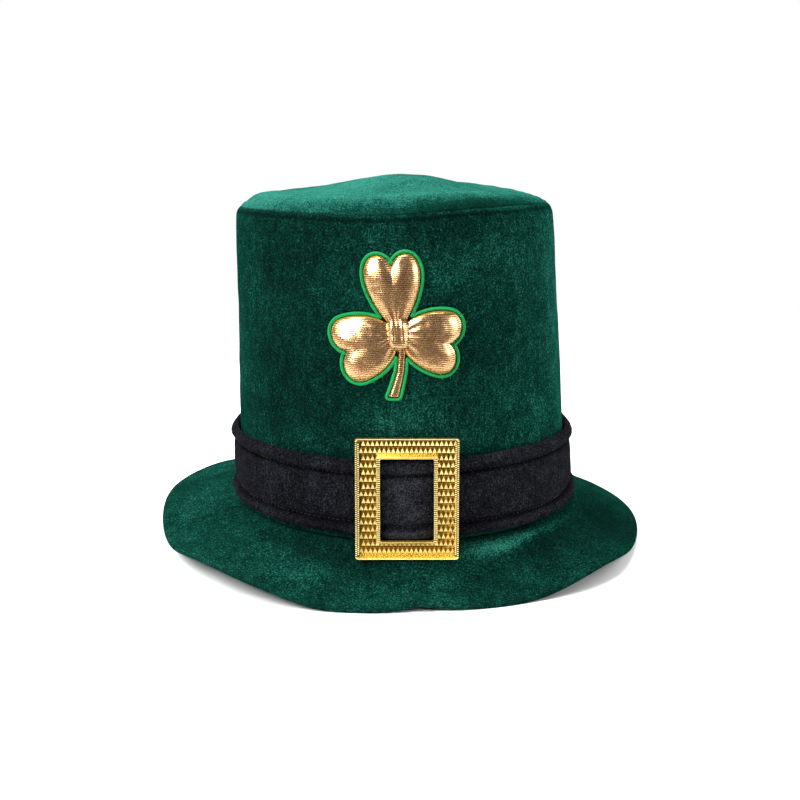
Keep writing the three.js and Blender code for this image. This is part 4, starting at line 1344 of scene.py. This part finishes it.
# Loose ends of the satin stitch: mm across and up from the knot, and degrees from straight out
STRAY_ENDS = (
    {"across": 35.2, "up": 8.5, "lean": 35},
    {"across": 35.9, "up": 5.1, "lean": -30},
    {"across": 35.2, "up": 2.1, "lean": 10},
    {"across": 35.6, "up": -2.0, "lean": -50},
    {"across": 29.5, "up": -19.3, "lean": 25},
    {"across": 26.2, "up": -22.7, "lean": -20},
    {"across": 22.0, "up": -23.5, "lean": 40},
    {"across": 6.2, "up": -14.0, "lean": 30},
    {"across": -3.2, "up": -14.8, "lean": -40},
    {"across": -7.3, "up": -20.8, "lean": 20},
    {"across": -9.5, "up": -22.3, "lean": -25},
    {"across": -14.0, "up": -26.0, "lean": 45},
)


def stray_ends(sizes, line, aside, first):
    """Flat points and faces of the loose thread ends along the satin stitch."""
    flat, faces, thin = [], [], 0.11 * MM
    for row in STRAY_ENDS:
        spot = np.array([row["across"], row["up"]]) * MM
        nearest = int(np.argmin(np.linalg.norm(line - spot, axis=1)))
        away = turned_flat(aside[nearest], row["lean"])
        across = np.array([away[1], -away[0]])
        root = line[nearest] + aside[nearest] * sizes.edging_width * 0.38
        for reach, height, size in ((0, 0.5, 1), (0.6, 0.75, 0.9), (1, 0.8, 0.5)):
            middle, out = root + away * reach * sizes.stray_length, height * sizes.edging_height
            for turn in (90, 210, 330):
                c, r = math.cos(math.radians(turn)), math.sin(math.radians(turn))
                flat.append((*(middle + across * c * thin * size), out + r * thin * size))
        faces += loop_faces(first, first + 3, 3) + loop_faces(first + 3, first + 6, 3)
        faces += [(first + 2, first + 1, first), (first + 6, first + 7, first + 8)]
        first += 9
    return flat, faces


class HAT_OT_edging(bpy.types.Operator):
    """Sew the green satin stitch round the shamrock"""

    bl_idname = "hat.edging"
    bl_label = "Shamrock edging"

    def execute(self, context):
        sizes, colours = context.scene.hat_sizes, context.scene.hat_colours
        tree = tree_of(bpy.data.objects["velour_crown"])
        line = evenly(edging_path(sizes), sizes.satin_pitch / 2)
        count = len(line) - len(line) % 2
        line = evenly(line, np.linalg.norm(np.diff(line, axis=0), axis=1).sum() / count)[:count]
        smooth = (np.roll(line, 2, 0) + np.roll(line, -2, 0) + 2 * line) / 4
        along = np.roll(smooth, -2, 0) - np.roll(smooth, 2, 0)
        along /= np.maximum(np.linalg.norm(along, axis=1), 1e-9)[:, None]
        aside = np.stack([along[:, 1], -along[:, 0]], 1)
        angles = np.linspace(0, 2 * math.pi, EDGING_SIDES + 1)[:-1]
        flat, gap_shade, faces = [], [], []
        for k in range(count):
            full = 1.0 if k % 2 else 0.84
            for angle in angles:
                c, s = math.cos(angle), math.sin(angle)
                out = max(s, -0.25) * sizes.edging_height * 0.8 * full + 0.25 * sizes.edging_height
                place = line[k] + aside[k] * c * sizes.edging_width / 2 * (0.9 + 0.1 * full)
                flat.append((*place, out))
                # Painted shade on every other thread, the lower ones between their neighbours
                gap_shade.append(0.0 if k % 2 else 0.8)
            faces += loop_faces(EDGING_SIDES * k, EDGING_SIDES * ((k + 1) % count), EDGING_SIDES)
        ends, sides = stray_ends(sizes, line, aside, len(flat))
        edging = from_faces("satin_edging", crown_patch(sizes, tree, flat + ends), faces + sides)
        edit_all(edging)
        bpy.ops.mesh.normals_make_consistent(inside=False)
        bpy.ops.object.mode_set(mode="OBJECT")
        point_values(edging, "gap_shade", gap_shade + [0.0] * len(ends))
        # The dark green is painted shade between the threads
        light, dark = tuple(colours.satin), tuple(colours.satin_gap_shade)
        finish = sewing_thread("Green satin thread", light, dark, 0.1)
        settle(edging, [finish], "green_thread", "shamrock_edging")
        return {"FINISHED"}


# Soft boxes: where they stand, in metres from the hat's middle, their size and their power.
# The gloss ones only show in shiny surfaces
SOFT_BOXES = (
    {"name": "key", "x": -0.75, "y": -0.7, "z": 0.95, "size": 0.8, "watts": 27},
    {"name": "fill", "x": 1.0, "y": -0.6, "z": 0.5, "size": 0.7, "watts": 5},
    {"name": "top", "x": 0.0, "y": 0.15, "z": 1.25, "size": 0.7, "watts": 20},
    {"name": "rim_right", "x": 0.95, "y": 0.5, "z": 0.45, "size": 0.6, "watts": 13},
    {"name": "rim_left", "x": -0.9, "y": 0.6, "z": 0.6, "size": 0.6, "watts": 10},
    {"name": "gloss_left", "x": -0.8, "y": -0.7, "z": 0.6, "size": 0.55, "watts": 30},
    {"name": "gloss_front", "x": -0.4, "y": -0.95, "z": 0.85, "size": 0.35, "watts": 3.5},
    {"name": "gloss_right", "x": 0.95, "y": -0.35, "z": 0.3, "size": 0.3, "watts": 4},
)
CAMERA_PLACE = (0, -0.785, 0.273)
CAMERA_AIM = (0, 0, 0.080)
LAMP_AIM = (0, 0, 0.1)
FOCAL_PIXELS = 1335
IMAGE_PIXELS = 800
SENSOR_MM = 36
FLOOR_RADIUS = 1.15
FLOOR_FADE = (0.35, 0.8)  # how far out the floor starts to fade, and where it has gone
FLAG_PLACE = (0, -0.9, 0.004)  # a dark sheet that only shows as a reflection in the gold
FLAG_SIZE = (2.2, 1.4, 1)
FLAG_GREY = (84, 76, 68)
ROOM_LIGHT = (0.1, 0.1, 0.1)


def aimed(obj, target):
    obj.rotation_euler = (Vector(target) - obj.location).to_track_quat("-Z", "Y").to_euler()


class HAT_OT_stage(bpy.types.Operator):
    """Set up the camera, the soft boxes and the pale floor"""

    bl_idname = "hat.stage"
    bl_label = "Studio"

    def execute(self, context):
        colours = context.scene.hat_colours
        deselect()
        bpy.ops.object.camera_add(location=CAMERA_PLACE)
        camera = context.object
        camera.name = "photo_camera"
        camera.data.sensor_width = SENSOR_MM
        camera.data.lens = SENSOR_MM * FOCAL_PIXELS / IMAGE_PIXELS
        camera.data.clip_start = 0.01
        aimed(camera, CAMERA_AIM)
        context.scene.camera = camera
        for row in SOFT_BOXES:
            bpy.ops.object.light_add(type="AREA", location=(row["x"], row["y"], row["z"]))
            lamp = context.object
            lamp.name = "soft_box_" + row["name"]
            lamp.data.shape, lamp.data.size, lamp.data.energy = "SQUARE", row["size"], row["watts"]
            lamp.visible_diffuse = not row["name"].startswith("gloss")
            aimed(lamp, LAMP_AIM)
        bpy.ops.mesh.primitive_circle_add(vertices=96, radius=FLOOR_RADIUS, fill_type="NGON")
        floor = context.object
        floor.name = "floor"
        finish, tree, shader = new_finish("Pale floor", Specular_IOR_Level=0.1)
        wear = placed(tree, once("Handling", wear_group), {"Scale": 3.0, "Fine Scale": 400.0})
        pale = tuple(colours.floor)
        scuffed = mixed(tree, times(tree, wear["Slow"], 0.15), pale, [value * 0.97 for value in pale])
        tree.links.new(scuffed, shader["Base Color"])
        tree.links.new(stretched(tree, wear["Fine"], 0.3, 0.7, 0.85, 0.95), shader["Roughness"])
        reach = node(tree, "ShaderNodeVectorMath", {0: object_place(tree)}, operation="LENGTH")
        fade = stretched(tree, reach.outputs["Value"], *FLOOR_FADE, 1.0, 0.0)
        tree.links.new(fade, shader["Alpha"])
        floor.data.materials.append(finish)
        # A dark sheet hidden from the camera, from diffuse light and from shadows, put there only to
        # show as painted dark reflections in the gold
        bpy.ops.mesh.primitive_plane_add(size=1, location=FLAG_PLACE)
        flag = context.object
        flag.name = "dark_flag"
        flag.scale = FLAG_SIZE
        shade, _, _ = new_finish("Dark flag", Base_Color=srgb(*FLAG_GREY), Roughness=0.9)
        flag.data.materials.append(shade)
        flag.visible_camera = flag.visible_diffuse = flag.visible_shadow = False
        world = bpy.data.worlds.new("Studio")
        context.scene.world = world
        world.use_nodes = True
        tree = world.node_tree
        seen = node(tree, "ShaderNodeLightPath").outputs["Is Camera Ray"]
        sky = tree.nodes["Background"]
        tree.links.new(mixed(tree, seen, ROOM_LIGHT, (1, 1, 1)), sky.inputs["Color"])
        context.scene.view_settings.view_transform = "Standard"
        return {"FINISHED"}


class HAT_PT_panel(bpy.types.Panel):
    """Lists the hat's steps, sizes and colours"""

    bl_idname = "HAT_PT_panel"
    bl_label = "Leprechaun hat"
    bl_space_type = "VIEW_3D"
    bl_region_type = "UI"
    bl_category = "Hat"

    def draw(self, context):
        for operator in OPERATORS:
            self.layout.operator(operator.bl_idname)
        for group in (context.scene.hat_sizes, context.scene.hat_colours):
            column = self.layout.column()
            for name in group.bl_rna.properties.keys():
                if name not in ("rna_type", "name"):
                    column.prop(group, name)


OPERATORS = (
    HAT_OT_stage, HAT_OT_crown, HAT_OT_tip, HAT_OT_brim, HAT_OT_band, HAT_OT_buckle,
    HAT_OT_shamrock, HAT_OT_edging)
CLASSES = (HatSizes, HatColours, *OPERATORS, HAT_PT_panel)


def register():
    for kind in CLASSES:
        bpy.utils.register_class(kind)
    bpy.types.Scene.hat_sizes = bpy.props.PointerProperty(type=HatSizes)
    bpy.types.Scene.hat_colours = bpy.props.PointerProperty(type=HatColours)


def unregister():
    del bpy.types.Scene.hat_colours
    del bpy.types.Scene.hat_sizes
    for kind in reversed(CLASSES):
        bpy.utils.unregister_class(kind)


def main():
    register()
    for operator in OPERATORS:
        area, step = operator.bl_idname.split(".")
        getattr(getattr(bpy.ops, area), step)()
    deselect()


if __name__ == "__main__":
    main()
